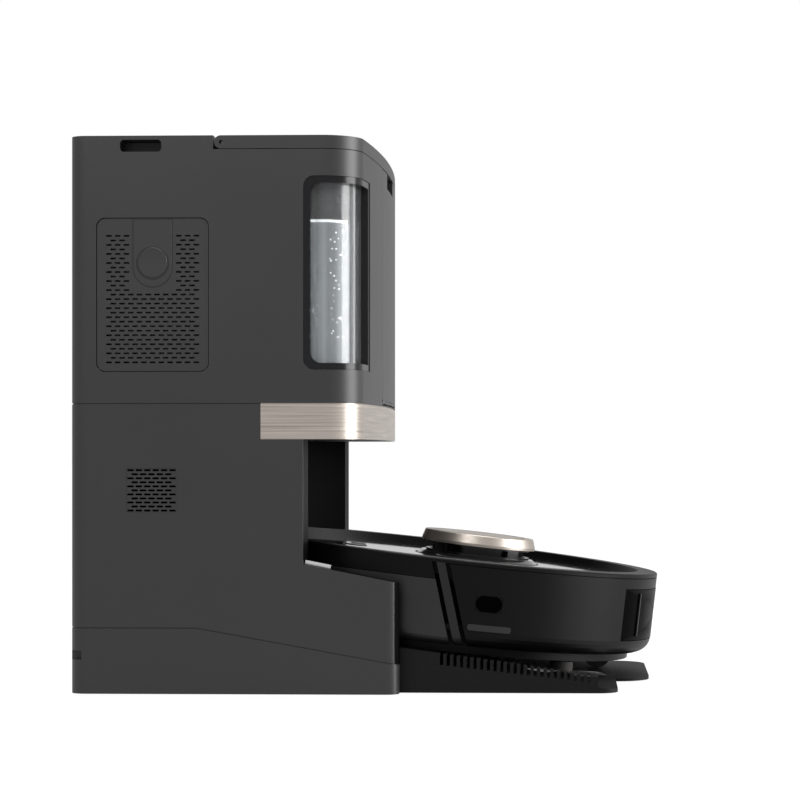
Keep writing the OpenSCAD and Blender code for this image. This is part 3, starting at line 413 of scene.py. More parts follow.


# Painted shade: a near-black rim, a little larger than the tab and just behind its face, stands
# for the gap round it
def build_tab_gap_shade(build):
    half, foot, top = tab_half + 0.0005, tab_low.z - 0.0005, cover_high.z - 0.0007
    front = tab_low.y + FACE_SINK + TAB_PROUD / 2
    stack_rings(build, [tab_outline(half, foot, top, front + 0.0006),
                        tab_outline(half, foot, top, front)])


def build_thumb(build):
    lean = Matrix.Rotation(math.radians(1.2), 4, "X")
    rings = []
    for radius, depth in ((THUMB_R, 0.0016), (THUMB_R, 0.0003), (THUMB_R - 0.0005, -0.0002),
                          (THUMB_R * 0.8, -0.00005), (THUMB_R * 0.45, 0.0), (0.0008, 0.00003)):
        turn = [2 * math.pi * i / 48 for i in range(48)]
        rings.append([thumb_at + lean @ Vector((radius * math.cos(a), depth,
                                                radius * math.sin(a))) for a in turn])
    stack_rings(build, rings)


# Painted shade: a near-black ring round the thumb disc stands for its groove
def build_thumb_groove_shade(build):
    turn = [2 * math.pi * i / 48 for i in range(48)]
    rings = []
    for radius, y in ((THUMB_R + 0.0014, -0.00005), (THUMB_R + 0.0001, -0.00005),
                      (THUMB_R + 0.0001, 0.0008), (THUMB_R + 0.0014, 0.0008)):
        rings.append([thumb_at + Vector((radius * math.cos(a), y, radius * math.sin(a)
                                         - (radius - THUMB_R) * 0.6)) for a in turn])
    stack_rings(build, rings + [rings[0]], cap_start=False, cap_end=False)


# SHADOW is a near-black material for painted shade in gaps and grooves
SHADOW = finish("painted_groove_shade", (0.004, 0.004, 0.004), rough=0.8, depth=0.02)
mount(solid_piece("latch_tab", build_tab, CHARCOAL), "cover_latch", "housing_plastic",
      "cover_latch")
mount(solid_piece("latch_gap_shade", build_tab_gap_shade, SHADOW), "cover_latch", "grille_plastic")
mount(solid_piece("latch_thumb", build_thumb, CHARCOAL), "cover_latch", "housing_plastic")
mount(solid_piece("latch_groove_shade", build_thumb_groove_shade, SHADOW), "cover_latch", "grille_plastic")


# ---- Pleated filter behind the side cover ----
# Folded filter paper in a frame, seen only through the slots and with the cover open.

FILTER = finish("filter_paper", (0.30, 0.30, 0.28), rough=0.9, vary=0.3, along=(60, 1, 1))
dress(FILTER, "exhaust_filter")


# ---- Small vent on the lower housing ----
# A pressed grid of staggered slots for the dryer's air, flush in the side wall.

VENT_BLACK = finish("vent_plastic", (0.008, 0.008, 0.008), rough=0.6, depth=0.05)
dress(VENT_BLACK, "lower_grille", "power_inlet")
vent_low, vent_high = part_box("lower_grille")
vent = slotted_plate("lower_vent", (vent_low.x, vent_low.z, vent_high.y),
                     (vent_high.x, vent_high.z), corner=0.0009, slot_size=(0.0050, 0.0015),
                     pitch=(0.00628, 0.003), margin=(0.0004, 0.0006), keep_out=None,
                     thick=vent_high.y - vent_low.y, material=CHARCOAL)
mount(vent, "station", "grille_plastic", "lower_grille")


# ---- Champagne band under the tank housing ----
# A strip of brushed metal that wraps the front; the brush lines run level.

BRUSHED = finish("brushed_champagne", (0.42, 0.375, 0.335), rough=0.36, vary=0.75,
                 rough_vary=0.25, scale=9.0, depth=0.25, along=(1, 1, 130), Metallic=0.75)
dress(BRUSHED, "trim_band")


# ---- Parking bay, ramp and washing board ----
# Unpainted black mouldings: a liner over the bay, a ramp between two ribbed shoulders, and a
# ribbed board that scrubs the mops. Low studs give the robot's wheels grip on the ramp.

RAMP_BLACK = finish("ramp_plastic", (0.008, 0.008, 0.008), rough=0.5, scale=700, depth=0.2,
                    Specular_IOR_Level=0.10)
BAY_BLACK = finish("bay_plastic", (0.010, 0.010, 0.010), rough=0.55, depth=0.1)
BOARD_GREY = finish("washing_board", (0.03, 0.03, 0.031), rough=0.6, depth=0.2)
dress(RAMP_BLACK, "ramp", "ramp_shoulder_left", "ramp_shoulder_right")
dress(BAY_BLACK, "bay_ceiling", "clean_tank_cap", "dirty_tank_cap")
dress(BOARD_GREY, "wash_board")

ramp_low, ramp_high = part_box("ramp")
DECK_ANGLE = math.radians(6.5)
deck_slope = math.tan(DECK_ANGLE)


def deck_height(x):
    """Height of the ramp's face at a distance along X, from its back edge."""
    return ramp_high.z - (x - ramp_low.x) * deck_slope


def grip_tree():
    """Low round studs in a grid, laid on the slope of the two wheel tracks."""
    tree = bpy.data.node_groups.new("grip_studs", "GeometryNodeTree")
    face = tree.interface
    face.new_socket("Geometry", in_out="OUTPUT", socket_type="NodeSocketGeometry")
    for key, value in (("Stud Radius", 0.0016), ("Stud Height", 0.0003)):
        face.new_socket(key, in_out="INPUT",
                        socket_type="NodeSocketFloat").default_value = value
    add, link = tree.nodes.new, tree.links.new
    source, sink = add("NodeGroupInput"), add("NodeGroupOutput")
    stud = add("GeometryNodeMeshCylinder")
    stud.inputs["Vertices"].default_value = 10
    link(source.outputs["Stud Radius"], stud.inputs["Radius"])
    link(source.outputs["Stud Height"], stud.inputs["Depth"])
    joined = add("GeometryNodeJoinGeometry")
    length, width = 0.118, 0.030
    middle = ramp_low.x + 0.012 + length / 2
    track = 0.117
    for side in (-1, 1):
        grid, place = add("GeometryNodeMeshGrid"), add("GeometryNodeTransform")
        grid.inputs["Size X"].default_value = length
        grid.inputs["Size Y"].default_value = width
        grid.inputs["Vertices X"].default_value = 20
        grid.inputs["Vertices Y"].default_value = 6
        place.inputs["Rotation"].default_value = (0, math.atan(deck_slope), 0)
        place.inputs["Translation"].default_value = (middle, side * track,
                                                     deck_height(middle) + 0.00005)
        spread = add("GeometryNodeInstanceOnPoints")
        link(grid.outputs[0], spread.inputs["Points"])
        link(stud.outputs["Mesh"], spread.inputs["Instance"])
        link(spread.outputs[0], place.inputs[0])
        link(place.outputs[0], joined.inputs[0])
    real, paint = add("GeometryNodeRealizeInstances"), add("GeometryNodeSetMaterial")
    paint.inputs["Material"].default_value = RAMP_BLACK
    link(joined.outputs[0], real.inputs[0])
    link(real.outputs[0], paint.inputs[0])
    link(paint.outputs[0], sink.inputs[0])
    return tree


mount(plain_mesh("grip_studs", grip_tree(), RAMP_BLACK), "station", "ramp_plastic")


# ---- Water window and clean tank ----
# A clear lens in a deep bevelled frame lets the level of the clean tank be read.
# The tank is blown clear plastic; the water stands with fine air bubbles on its wall. The bubbles
# and the water's edge glow white, a painted glint.

def clear(name, color, rough, index, haze, vary=0.04, along=(1, 1, 1)):
    """Clear plastic or water with a little haze; its colour may vary in upright bands, which on
    the lens and the water are painted highlight streaks.
    """
    return finish(name, color, rough=rough, vary=vary, rough_vary=0.01, scale=90, depth=0.0,
                  along=along, Transmission_Weight=1.0 - haze, IOR=index)


FRAME_BLACK = finish("window_frame", (0.004, 0.004, 0.005), rough=0.22, depth=0.03,
                     Specular_IOR_Level=0.3)
# The lens and the water vary strongly in colour in upright bands: painted highlight streaks
LENS = clear("window_lens", (0.80, 0.81, 0.82), 0.03, 1.3, 0.035, vary=1.6, along=(1, 1, 0.004))
TANK = clear("clear_tank", (0.86, 0.88, 0.89), 0.04, 1.08, 0.02)
WATER = clear("clean_water", (0.80, 0.82, 0.83), 0.008, 1.12, 0.42, vary=2.4, along=(1, 1, 0.004))
# Painted glint: the bubbles and the water's edge glow white though no lamp is there
PAINTED_GLINT = finish("painted_glint_white", (0.95, 0.96, 0.97), rough=0.1, vary=0.2, depth=0.0,
                Emission_Color=(1, 1, 1, 1), Emission_Strength=0.8)
SMOKE = finish("smoked_tank", (0.03, 0.03, 0.032), rough=0.2, depth=0.03)
dress(FRAME_BLACK, "window_frame")
dress(LENS, "window_lens")
dress(TANK, "clean_tank")
dress(WATER, "clean_water")
dress(SMOKE, "dirty_tank")

water_low, water_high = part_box("clean_water")
lens_low, lens_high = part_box("window_lens")


def bubble_tree():
    """Small spheres strewn over a thin upright sheet just inside the tank's right wall."""
    tree = bpy.data.node_groups.new("air_bubbles", "GeometryNodeTree")
    face = tree.interface
    face.new_socket("Geometry", in_out="OUTPUT", socket_type="NodeSocketGeometry")
    for key, kind, value in (("Density", "NodeSocketFloat", 40000.0),
                             ("Radius", "NodeSocketFloat", 0.00075),
                             ("Seed", "NodeSocketInt", 7)):
        face.new_socket(key, in_out="INPUT", socket_type=kind).default_value = value
    add, link = tree.nodes.new, tree.links.new
    source, sink = add("NodeGroupInput"), add("NodeGroupOutput")
    sheet, place = add("GeometryNodeMeshGrid"), add("GeometryNodeTransform")
    wide, tall = lens_high.x - lens_low.x - 0.010, (water_high.z - lens_low.z) * 0.8
    sheet.inputs["Size X"].default_value = wide
    sheet.inputs["Size Y"].default_value = tall
    place.inputs["Rotation"].default_value = (math.pi / 2, 0, 0)
    place.inputs["Translation"].default_value = (lens_low.x + wide / 2, water_low.y + 0.0012,
                                                 water_high.z - 0.004 - tall / 2)
    link(sheet.outputs["Mesh"], place.inputs[0])
    strew = add("GeometryNodeDistributePointsOnFaces")
    link(place.outputs[0], strew.inputs["Mesh"])
    link(source.outputs["Density"], strew.inputs["Density"])
    link(source.outputs["Seed"], strew.inputs["Seed"])
    ball = add("GeometryNodeMeshIcoSphere")
    ball.inputs["Subdivisions"].default_value = 2
    link(source.outputs["Radius"], ball.inputs["Radius"])
    size = add("FunctionNodeRandomValue")
    size.inputs[2].default_value = 0.25
    size.inputs[3].default_value = 1.0
    link(source.outputs["Seed"], size.inputs["Seed"])
    spread = add("GeometryNodeInstanceOnPoints")
    link(strew.outputs["Points"], spread.inputs["Points"])
    link(ball.outputs["Mesh"], spread.inputs["Instance"])
    link(size.outputs[1], spread.inputs["Scale"])
    real, paint = add("GeometryNodeRealizeInstances"), add("GeometryNodeSetMaterial")
    paint.inputs["Material"].default_value = PAINTED_GLINT
    link(spread.outputs[0], real.inputs[0])
    link(real.outputs[0], paint.inputs[0])
    link(paint.outputs[0], sink.inputs[0])
    return tree


bubbles = plain_mesh("air_bubbles", bubble_tree(), PAINTED_GLINT)
bubbles.data.shade_smooth()
mount(bubbles, "station", "water")


def build_meniscus(build):
    """The edge of the water where it climbs the tank's wall a little, made bright by a painted
    glint.
    """
    inset, rise = 0.0012, 0.0022
    x = (water_low.x + inset, water_high.x - 0.020)
    y = (water_low.y + inset, water_high.y - inset)
    ring = [(x[0], y[0]), (x[1], y[0]), (x[1] + 0.012, y[0] + 0.012), (x[1] + 0.012, y[1]),
            (x[0], y[1])]
    middle = Vector((sum(p[0] for p in ring) / 5, sum(p[1] for p in ring) / 5, 0))
    rings = []
    for shrink, z in ((0.0, 0.0003), (0.0, rise), (0.0006, rise), (0.0020, 0.0006),
                      (0.0020, 0.0003)):
        turn = []
        for px, py in ring:
            away = (middle - Vector((px, py, 0))).normalized() * shrink
            turn.append((px + away.x, py + away.y, water_high.z + z))
        rings.append(turn)
    stack_rings(build, rings + [rings[0]], cap_start=False, cap_end=False)


mount(solid_piece("water_edge", build_meniscus, PAINTED_GLINT), "station", "water")


# ---- Working parts inside the station ----
# Fan, pump and electronics are bought-in units; they show only with a cover open.

MOTOR = finish("motor_plastic", (0.02, 0.02, 0.02), rough=0.55)
BOARD = finish("circuit_board", (0.01, 0.08, 0.03), rough=0.4)
STEEL = finish("ground_steel", (0.5, 0.5, 0.5), rough=0.3, depth=0.05, Metallic=1.0)
CONTACT = finish("plated_contact", (0.7, 0.7, 0.7), rough=0.2, depth=0.02, Metallic=1.0)
RUBBER = finish("foot_rubber", (0.02, 0.02, 0.02), rough=0.85, depth=0.3)
dress(MOTOR, "suction_motor", "water_pump")
dress(BOARD, "circuit_board")
dress(STEEL, "lid_pin", "door_pin")
dress(VENT_BLACK, "cover_pin")
dress(CONTACT, "dock_contacts", "robot_contacts", "sill_sensors")
dress(RUBBER, "rubber_feet")


# ---- Dust bag ----
# A pleated bag of non-woven fibre on a stiff card collar; it fills the middle compartment.

BAG = finish("bag_fibre", (0.52, 0.49, 0.43), rough=0.95, vary=0.35, scale=260, depth=0.5,
             Sheen_Weight=0.3)
CARD = finish("collar_card", (0.35, 0.28, 0.20), rough=0.8, scale=300, depth=0.2)
bag_low, bag_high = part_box("dust_bag")


def build_bag(build):
    middle = (bag_low + bag_high) / 2
    half = (bag_high - bag_low) / 2
    rings = []
    levels = 28
    for k in range(levels + 1):
        rise = k / levels
        swell = 0.985 - 0.30 * abs(2 * rise - 1) ** 6
        ring = []
        for i in range(72):
            a = 2 * math.pi * i / 72
            square = (abs(math.cos(a)) ** 5 + abs(math.sin(a)) ** 5) ** -0.2
            pleat = 1 - 0.018 * abs(math.sin(14 * rise * math.pi)) - 0.01 * math.sin(9 * a)
            reach = min(square * swell * pleat, 1 / max(abs(math.cos(a)), abs(math.sin(a))))
            ring.append((middle.x + half.x * reach * math.cos(a) * 0.99,
                         middle.y + half.y * reach * math.sin(a) * 0.99,
                         bag_low.z + 0.0005 + rise * (2 * half.z - 0.006)))
        rings.append(ring)
    stack_rings(build, rings)


def build_collar(build):
    middle = (bag_low + bag_high) / 2
    rings = []
    for radius, z in ((0.012, 0.006), (0.034, 0.006), (0.035, 0.003), (0.034, 0.001),
                      (0.012, 0.001)):
        rings.append([(middle.x + radius * math.cos(a), middle.y + radius * math.sin(a),
                       bag_high.z - 0.0065 + z) for a in [math.pi * i / 24 for i in range(48)]])
    stack_rings(build, rings + [rings[0]], cap_start=False, cap_end=False)


dust_bag = mount(solid_piece("dust_bag_body", build_bag, BAG, 60), "station", "bag_paper",
                 "dust_bag")
mount(solid_piece("dust_bag_collar", build_collar, CARD), "station", "bag_paper")


# ---- Robot body ----
# The shells are satin black mouldings round a moulded belly pan; the top is gloss acrylic.

ROBOT_BLACK = finish("robot_plastic", (0.0028, 0.0028, 0.003), rough=0.38, scale=1500,
                     depth=0.05, Specular_IOR_Level=0.09)
SKIRT_BLACK = finish("skirt_plastic", (0.011, 0.011, 0.0115), rough=0.38, scale=1500, depth=0.05,
                     Specular_IOR_Level=0.35)
STRIP_GREY = finish("strip_plastic", (0.009, 0.009, 0.0095), rough=0.4, depth=0.08,
                    Specular_IOR_Level=0.25)
GLOSS = finish("gloss_acrylic", (0.008, 0.008, 0.009), rough=0.08, rough_vary=0.03, depth=0.015,
               Coat_Weight=1.0)
SCANNER = finish("scanner_black", (0.006, 0.006, 0.006), rough=0.18, depth=0.0)
BUTTON = finish("button_plastic", (0.06, 0.06, 0.062), rough=0.35, depth=0.05)
CELL = finish("battery_wrap", (0.01, 0.04, 0.11), rough=0.35)
BIN = finish("dust_bin_smoke", (0.05, 0.05, 0.055), rough=0.2)
dress(ROBOT_BLACK, "robot_base", "robot_cover", "bumper")
dress(SKIRT_BLACK, "rear_skirt")
dress(STRIP_GREY, "side_strips", "caster_fork", "wheel_arm_left", "wheel_arm_right",
      "brush_guard")
dress(GLOSS, "top_plate", "turret_base")
dress(SCANNER, "lidar_cage", "lidar_rotor")
dress(BUTTON, "power_button", "home_button")
dress(CELL, "battery")
dress(BIN, "dust_bin")

# The robot's own frame: the turret's axis gives its tilt and the middle of its gloss plate
joints = {joint["name"]: joint for joint in frame["joints"]}
turret = joints["lidar_spin"]
up = Vector(turret["axis"]).normalized()
forward = Vector((up.z, 0, -up.x))
left = Vector((0, 1, 0))
TURRET_AHEAD = 0.027
plate_centre = Vector(turret["pos_m"]) - forward * TURRET_AHEAD
skirt_low, skirt_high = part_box("rear_skirt")
ROBOT_R = (skirt_high.y - skirt_low.y) / 2


def robot_point(x, y, z):
    """A point from the middle of the gloss plate's face, in the robot's tilted frame."""
    return plate_centre + forward * x + left * y + up * z


def ring_piece(name, centre, profile, material, steps=96):
    """Turns a closed profile of radius and height round the robot's upright axis."""
    def build(mesh):
        rings = []
        for radius, height in profile:
            rings.append([robot_point(centre[0] + radius * math.cos(a),
                                      centre[1] + radius * math.sin(a), height)
                          for a in [2 * math.pi * i / steps for i in range(steps)]])
        stack_rings(mesh, rings + [rings[0]], cap_start=False, cap_end=False)
    return solid_piece(name, build, material)


# ---- Turret cap inlay ----
# A thin darker ring is let into the champagne cap; a thin near-black ring at the turret's foot is
# painted shade for a fine groove.

TURRET = finish("turret_champagne", (0.40, 0.36, 0.32), rough=0.38, vary=0.1, scale=2200,
                depth=0.05, Metallic=0.85)
INLAY = finish("turret_inlay", (0.10, 0.09, 0.08), rough=0.3, Metallic=0.6)
dress(TURRET, "turret_cap")
CAP_TOP = 0.0200  # over the face of the gloss plate
mount(ring_piece("turret_inlay", (TURRET_AHEAD, 0),
                 [(0.0360, CAP_TOP - 0.0006), (0.0372, CAP_TOP - 0.0006),
                  (0.0372, CAP_TOP + 0.00012), (0.0360, CAP_TOP + 0.00012)], INLAY),
      "robot", "turret_metal")
# Painted shade: a thin near-black ring at the turret's foot stands for its groove
mount(ring_piece("turret_foot_shade_line", (TURRET_AHEAD, 0),
                 [(0.0500, -0.0004), (0.0508, -0.0004), (0.0506, 0.0003), (0.0502, 0.0003)],
                 SHADOW), "robot", "robot_gloss")


# ---- Bumper windows ----
# Dull black infrared windows: a broad one across the front and an oblong one on each side.
# The oblong ones sit in a filler of the bumper's own plastic, over a long slim bar.

WINDOW_BLACK = finish("sensor_window", (0.0004, 0.0004, 0.0005), rough=0.3, depth=0.0,
                      Specular_IOR_Level=0.01)
PLATE_UP = 0.0776  # the gloss plate's face over the robot's own ground, like the heights below
SENSOR_UP = 0.0519 - PLATE_UP
BAR_UP = 0.0336 - PLATE_UP


def wrapped(name, angle, height, half_width, half_height, corner, depth, proud, material):
    """A shallow patch with round corners, wrapped round the bumper."""
    outline = []
    for turn in range(4):
        facing = turn * math.pi / 2
        side = ((1, 1), (-1, 1), (-1, -1), (1, -1))[turn]
        inner = (side[0] * (half_width - corner), side[1] * (half_height - corner))
        outline += [(inner[0] + corner * math.cos(facing + math.pi / 2 * i / 8),
                     inner[1] + corner * math.sin(facing + math.pi / 2 * i / 8))
                    for i in range(9)]
        if turn in (0, 2):
            span = -2 * inner[0]
            outline += [(inner[0] + span * i / 48, side[1] * half_height) for i in range(1, 48)]

    def build(mesh):
        rings = []
        for share, out in ((1.0, -depth), (1.0, proud - 0.0003), (0.985, proud), (0.6, proud),
                           (0.2, proud), (0.02, proud)):
            radius = ROBOT_R + out
            rings.append([robot_point(radius * math.cos(angle + share * x / ROBOT_R),
                                      radius * math.sin(angle + share * x / ROBOT_R),
                                      height + share * z) for x, z in outline])
        stack_rings(mesh, rings)
    return solid_piece(name, build, material)


WINDOW_FOOT, WINDOW_HEAD = 0.0300, 0.0710
SENSOR_TURN, BAR_TURN, CORNER_TURN = 75, 74.3, 23
front_half = math.radians(32)
window_mid = (WINDOW_FOOT + WINDOW_HEAD) / 2 - PLATE_UP
front_window = wrapped("front_window", 0, window_mid, front_half * ROBOT_R - 0.0004, 0.0201,
                       0.002, 0.0019, 0.0002, WINDOW_BLACK)
mount(front_window, "bumper", "sensor_window", "bumper_windows")
for side in (-1, 1):
    word = "left" if side > 0 else "right"
    sensor_at, bar_at, corner_at = [side * math.radians(turn)
                                    for turn in (SENSOR_TURN, BAR_TURN, CORNER_TURN)]
    filler = wrapped("sensor_filler_" + word, sensor_at, SENSOR_UP, 0.0102, 0.0061, 0.0004, 0.0019,
                     0.0, ROBOT_BLACK)
    mount(filler, "bumper", "robot_plastic")
    mount(wrapped("side_sensor_" + word, sensor_at, SENSOR_UP, 0.0100, 0.0060, 0.0055, 0.0005,
                  0.0004, WINDOW_BLACK), "bumper", "sensor_window")
    mount(wrapped("side_bar_" + word, bar_at, BAR_UP, 0.0170, 0.0024, 0.0018, 0.0005,
                  0.0006, SKIRT_BLACK), "bumper", "strip_plastic")
    mount(wrapped("corner_window_" + word, corner_at, window_mid, 0.0009, 0.0170, 0.0005,
                  0.0005, 0.0005, STRIP_GREY), "bumper", "strip_plastic")


# ---- Cleaning brushes ----
# The roller carries rubber fins between rows of nylon bristles; the side brush has fans of them.

BRISTLE = finish("nylon_bristle", (0.03, 0.03, 0.032), rough=0.5, vary=0.4)
FIN = finish("brush_rubber", (0.035, 0.030, 0.028), rough=0.7, depth=0.1)
dress(FIN, "main_brush")


def bristle_tree(name, reach, turns, tufts, rows, length, centre, tilt, material):
    """Rows of thin tapered bristles that spiral round a shaft along Y."""
    tree = bpy.data.node_groups.new(name, "GeometryNodeTree")
    face = tree.interface
    face.new_socket("Geometry", in_out="OUTPUT", socket_type="NodeSocketGeometry")
    for key, value in (("Reach", reach), ("Bristle Radius", 0.0004)):
        face.new_socket(key, in_out="INPUT",
                        socket_type="NodeSocketFloat").default_value = value
    add, link = tree.nodes.new, tree.links.new
    source, sink = add("NodeGroupInput"), add("NodeGroupOutput")
    hair = add("GeometryNodeMeshCone")
    hair.inputs["Vertices"].default_value = 4
    link(source.outputs["Bristle Radius"], hair.inputs["Radius Bottom"])
    hair.inputs["Radius Top"].default_value = 0.00015
    link(source.outputs["Reach"], hair.inputs["Depth"])
    joined = add("GeometryNodeJoinGeometry")
    for row in range(rows):
        line, turn = add("GeometryNodeMeshLine"), add("FunctionNodeAlignRotationToVector")
        line.mode = "END_POINTS"
        line.inputs["Count"].default_value = tufts
        line.inputs["Start Location"].default_value = (0, -length / 2, 0)
        line.inputs["Offset"].default_value = (0, length / 2, 0)
        place, split = add("GeometryNodeInputPosition"), add("ShaderNodeSeparateXYZ")
        wind = add("ShaderNodeMath")
        wind.operation = "MULTIPLY_ADD"
        wind.inputs[1].default_value = 2 * math.pi * turns / length
        wind.inputs[2].default_value = 2 * math.pi * (row + 0.5) / rows
        link(place.outputs[0], split.inputs[0])
        link(split.outputs["Y"], wind.inputs[0])
        cosine, sine, aim = (add("ShaderNodeMath"), add("ShaderNodeMath"),
                             add("ShaderNodeCombineXYZ"))
        cosine.operation, sine.operation = "COSINE", "SINE"
        for wave, end in ((cosine, "X"), (sine, "Z")):
            link(wind.outputs[0], wave.inputs[0])
            link(wave.outputs[0], aim.inputs[end])
        turn.axis = "Z"
        link(aim.outputs[0], turn.inputs["Vector"])
        spread = add("GeometryNodeInstanceOnPoints")
        link(line.outputs[0], spread.inputs["Points"])
        link(hair.outputs["Mesh"], spread.inputs["Instance"])
        link(turn.outputs[0], spread.inputs["Rotation"])
        link(spread.outputs[0], joined.inputs[0])
    move, real, paint = (add("GeometryNodeTransform"), add("GeometryNodeRealizeInstances"),
                         add("GeometryNodeSetMaterial"))
    move.inputs["Translation"].default_value = centre
    move.inputs["Rotation"].default_value = (0, tilt, 0)
    paint.inputs["Material"].default_value = material
    link(joined.outputs[0], move.inputs[0])
    link(move.outputs[0], real.inputs[0])
    link(real.outputs[0], paint.inputs[0])
    link(paint.outputs[0], sink.inputs[0])
    return tree


brush_axle = Vector(joints["main_brush_spin"]["pos_m"])
roller = plain_mesh("roller_bristles", bristle_tree(
    "roller_bristles", 0.0182, 0.6, 90, 6, 0.158, tuple(brush_axle), 0.1, BRISTLE), BRISTLE)
mount(roller, "main_brush", "brush_bristle")

side_pos = Vector(joints["side_brush_spin"]["pos_m"]) - plate_centre
side_at = (side_pos.dot(forward), side_pos.dot(left))
FAN_Z = 0.0035


def fan_tree():
    """Five fans of nylon bristles round an upright hub, in the robot's tilted frame."""
    tree = bpy.data.node_groups.new("side_fans", "GeometryNodeTree")
    face = tree.interface
    face.new_socket("Geometry", in_out="OUTPUT", socket_type="NodeSocketGeometry")
    for key, kind, value in (("Hair Length", "NodeSocketFloat", 0.0275),
                             ("Hair Radius", "NodeSocketFloat", 0.0006),
                             ("Hairs", "NodeSocketInt", 15)):
        face.new_socket(key, in_out="INPUT", socket_type=kind).default_value = value
    add, link = tree.nodes.new, tree.links.new
    source, sink = add("NodeGroupInput"), add("NodeGroupOutput")
    hair, lay = add("GeometryNodeMeshCone"), add("GeometryNodeTransform")
    hair.inputs["Vertices"].default_value = 5
    hair.inputs["Radius Top"].default_value = 0.00025
    link(source.outputs["Hair Radius"], hair.inputs["Radius Bottom"])
    link(source.outputs["Hair Length"], hair.inputs["Depth"])
    lay.inputs["Rotation"].default_value = (0, math.pi / 2, 0)
    lay.inputs["Translation"].default_value = (0.008, 0, 0)
    link(hair.outputs["Mesh"], lay.inputs[0])

    def turned(shape, count, step, start):
        line, spread = add("GeometryNodeMeshLine"), add("GeometryNodeInstanceOnPoints")
        line.inputs["Offset"].default_value = (0, 0, 0)
        if isinstance(count, int):
            line.inputs["Count"].default_value = count
        else:
            link(count, line.inputs["Count"])
        order, angle, spin = (add("GeometryNodeInputIndex"), add("ShaderNodeMath"),
                              add("ShaderNodeCombineXYZ"))
        angle.operation = "MULTIPLY_ADD"
        angle.inputs[1].default_value, angle.inputs[2].default_value = step, start
        link(order.outputs[0], angle.inputs[0])
        link(angle.outputs[0], spin.inputs["Z"])
        link(line.outputs[0], spread.inputs["Points"])
        link(shape, spread.inputs["Instance"])
        link(spin.outputs[0], spread.inputs["Rotation"])
        return spread.outputs[0]

    step = math.radians(2.4)
    fan = turned(lay.outputs[0], source.outputs["Hairs"], step, -7 * step)
    fans = turned(fan, 5, 2 * math.pi / 5, math.pi / 2)
    stand, real, paint = (add("GeometryNodeTransform"), add("GeometryNodeRealizeInstances"),
                          add("GeometryNodeSetMaterial"))
    stand.inputs["Rotation"].default_value = (0, math.atan2(-forward.z, forward.x), 0)
    stand.inputs["Translation"].default_value = robot_point(*side_at, FAN_Z - PLATE_UP)
    paint.inputs["Material"].default_value = BRISTLE
    link(fans, stand.inputs[0])
    link(stand.outputs[0], real.inputs[0])
    link(real.outputs[0], paint.inputs[0])
    link(paint.outputs[0], sink.inputs[0])
    return tree


def build_hub(mesh):
    stack_rings(mesh, [[robot_point(side_at[0] + radius * math.cos(a),
                                    side_at[1] + radius * math.sin(a), height - PLATE_UP)
                        for a in [2 * math.pi * i / 40 for i in range(40)]]
                       for radius, height in ((0.0070, 0.0021), (0.0086, 0.0026),
                                              (0.0090, 0.0046), (0.0090, 0.0110),
                                              (0.0030, 0.0114), (0.0030, 0.0200))])


mount(solid_piece("side_hub", build_hub, FIN), "side_brush", "brush_bristle", "side_brush")
mount(plain_mesh("side_fans", fan_tree(), BRISTLE), "side_brush", "brush_bristle")


# ---- Mop pads ----
# Looped microfibre pads on moulded discs that turn against each other; they lie on the board.

MOP_GREY = finish("mop_microfibre", (0.30, 0.32, 0.35), rough=0.95, vary=0.5, scale=420,
                  depth=0.8, Sheen_Weight=0.4)
DISC = finish("mop_disc", (0.03, 0.03, 0.03), rough=0.5)
MOP_R = 0.052


def mop_frame(side):
    """The side word of one mop and its foot's place from the gloss plate's middle."""
    word = "left" if side > 0 else "right"
    at = Vector(joints["mop_spin_" + word]["pos_m"])
    offset = at - plate_centre
    return word, offset.dot(forward), offset.dot(left), offset.dot(up) - 0.005


for side in (-1, 1):
    word, mop_x, mop_y, floor_up = mop_frame(side)

    def build_pad(mesh, x=mop_x, y=mop_y, base=floor_up):
        rings = []
        for radius, height in ((0.012, 0.0008), (0.030, 0.0005), (0.045, 0.0005), (0.050, 0.0009),
                               (MOP_R - 0.0003, 0.0026), (0.0505, 0.0046), (0.048, 0.0053),
                               (0.010, 0.0053)):
            ring = []
            for i in range(180):
                a = 2 * math.pi * i / 180
                loop = 0.00035 * math.sin(30 * a + radius * 900) * (radius / MOP_R)
                ring.append(robot_point(x + (radius - abs(loop)) * math.cos(a),
                                        y + (radius - abs(loop)) * math.sin(a), base + height))
            rings.append(ring)
        stack_rings(mesh, rings)

    def build_disc(mesh, x=mop_x, y=mop_y, base=floor_up):
        rings = []
        for radius, height in ((0.047, 0.0054), (0.049, 0.0060), (0.049, 0.0078), (0.047, 0.0084),
                               (0.014, 0.0084), (0.0078, 0.0110), (0.0078, 0.0330)):
            rings.append([robot_point(x + radius * math.cos(a), y + radius * math.sin(a),
                                      base + height)
                          for a in [2 * math.pi * i / 72 for i in range(72)]])
        stack_rings(mesh, rings)

    pad = mount(solid_piece("mop_pad_" + word, build_pad, MOP_GREY, 60), "mop_" + word,
                "mop_cloth", "mop_" + word)
    mount(solid_piece("mop_disc_" + word, build_disc, DISC), "mop_" + word, "strip_plastic")


# ---- Wheels ----
# Moulded rubber tyres, with a cut tread on the drive wheels and three grooves on the caster.

TYRE = finish("tyre_rubber", (0.013, 0.013, 0.013), rough=0.75, scale=600, depth=0.3)
dress(TYRE, "drive_wheel_left", "drive_wheel_right", "caster_wheel")


# ---- Floor, lamps and camera ----
# A pale floor and a plain pale room; broad soft lamps stand in front, above and at the right.

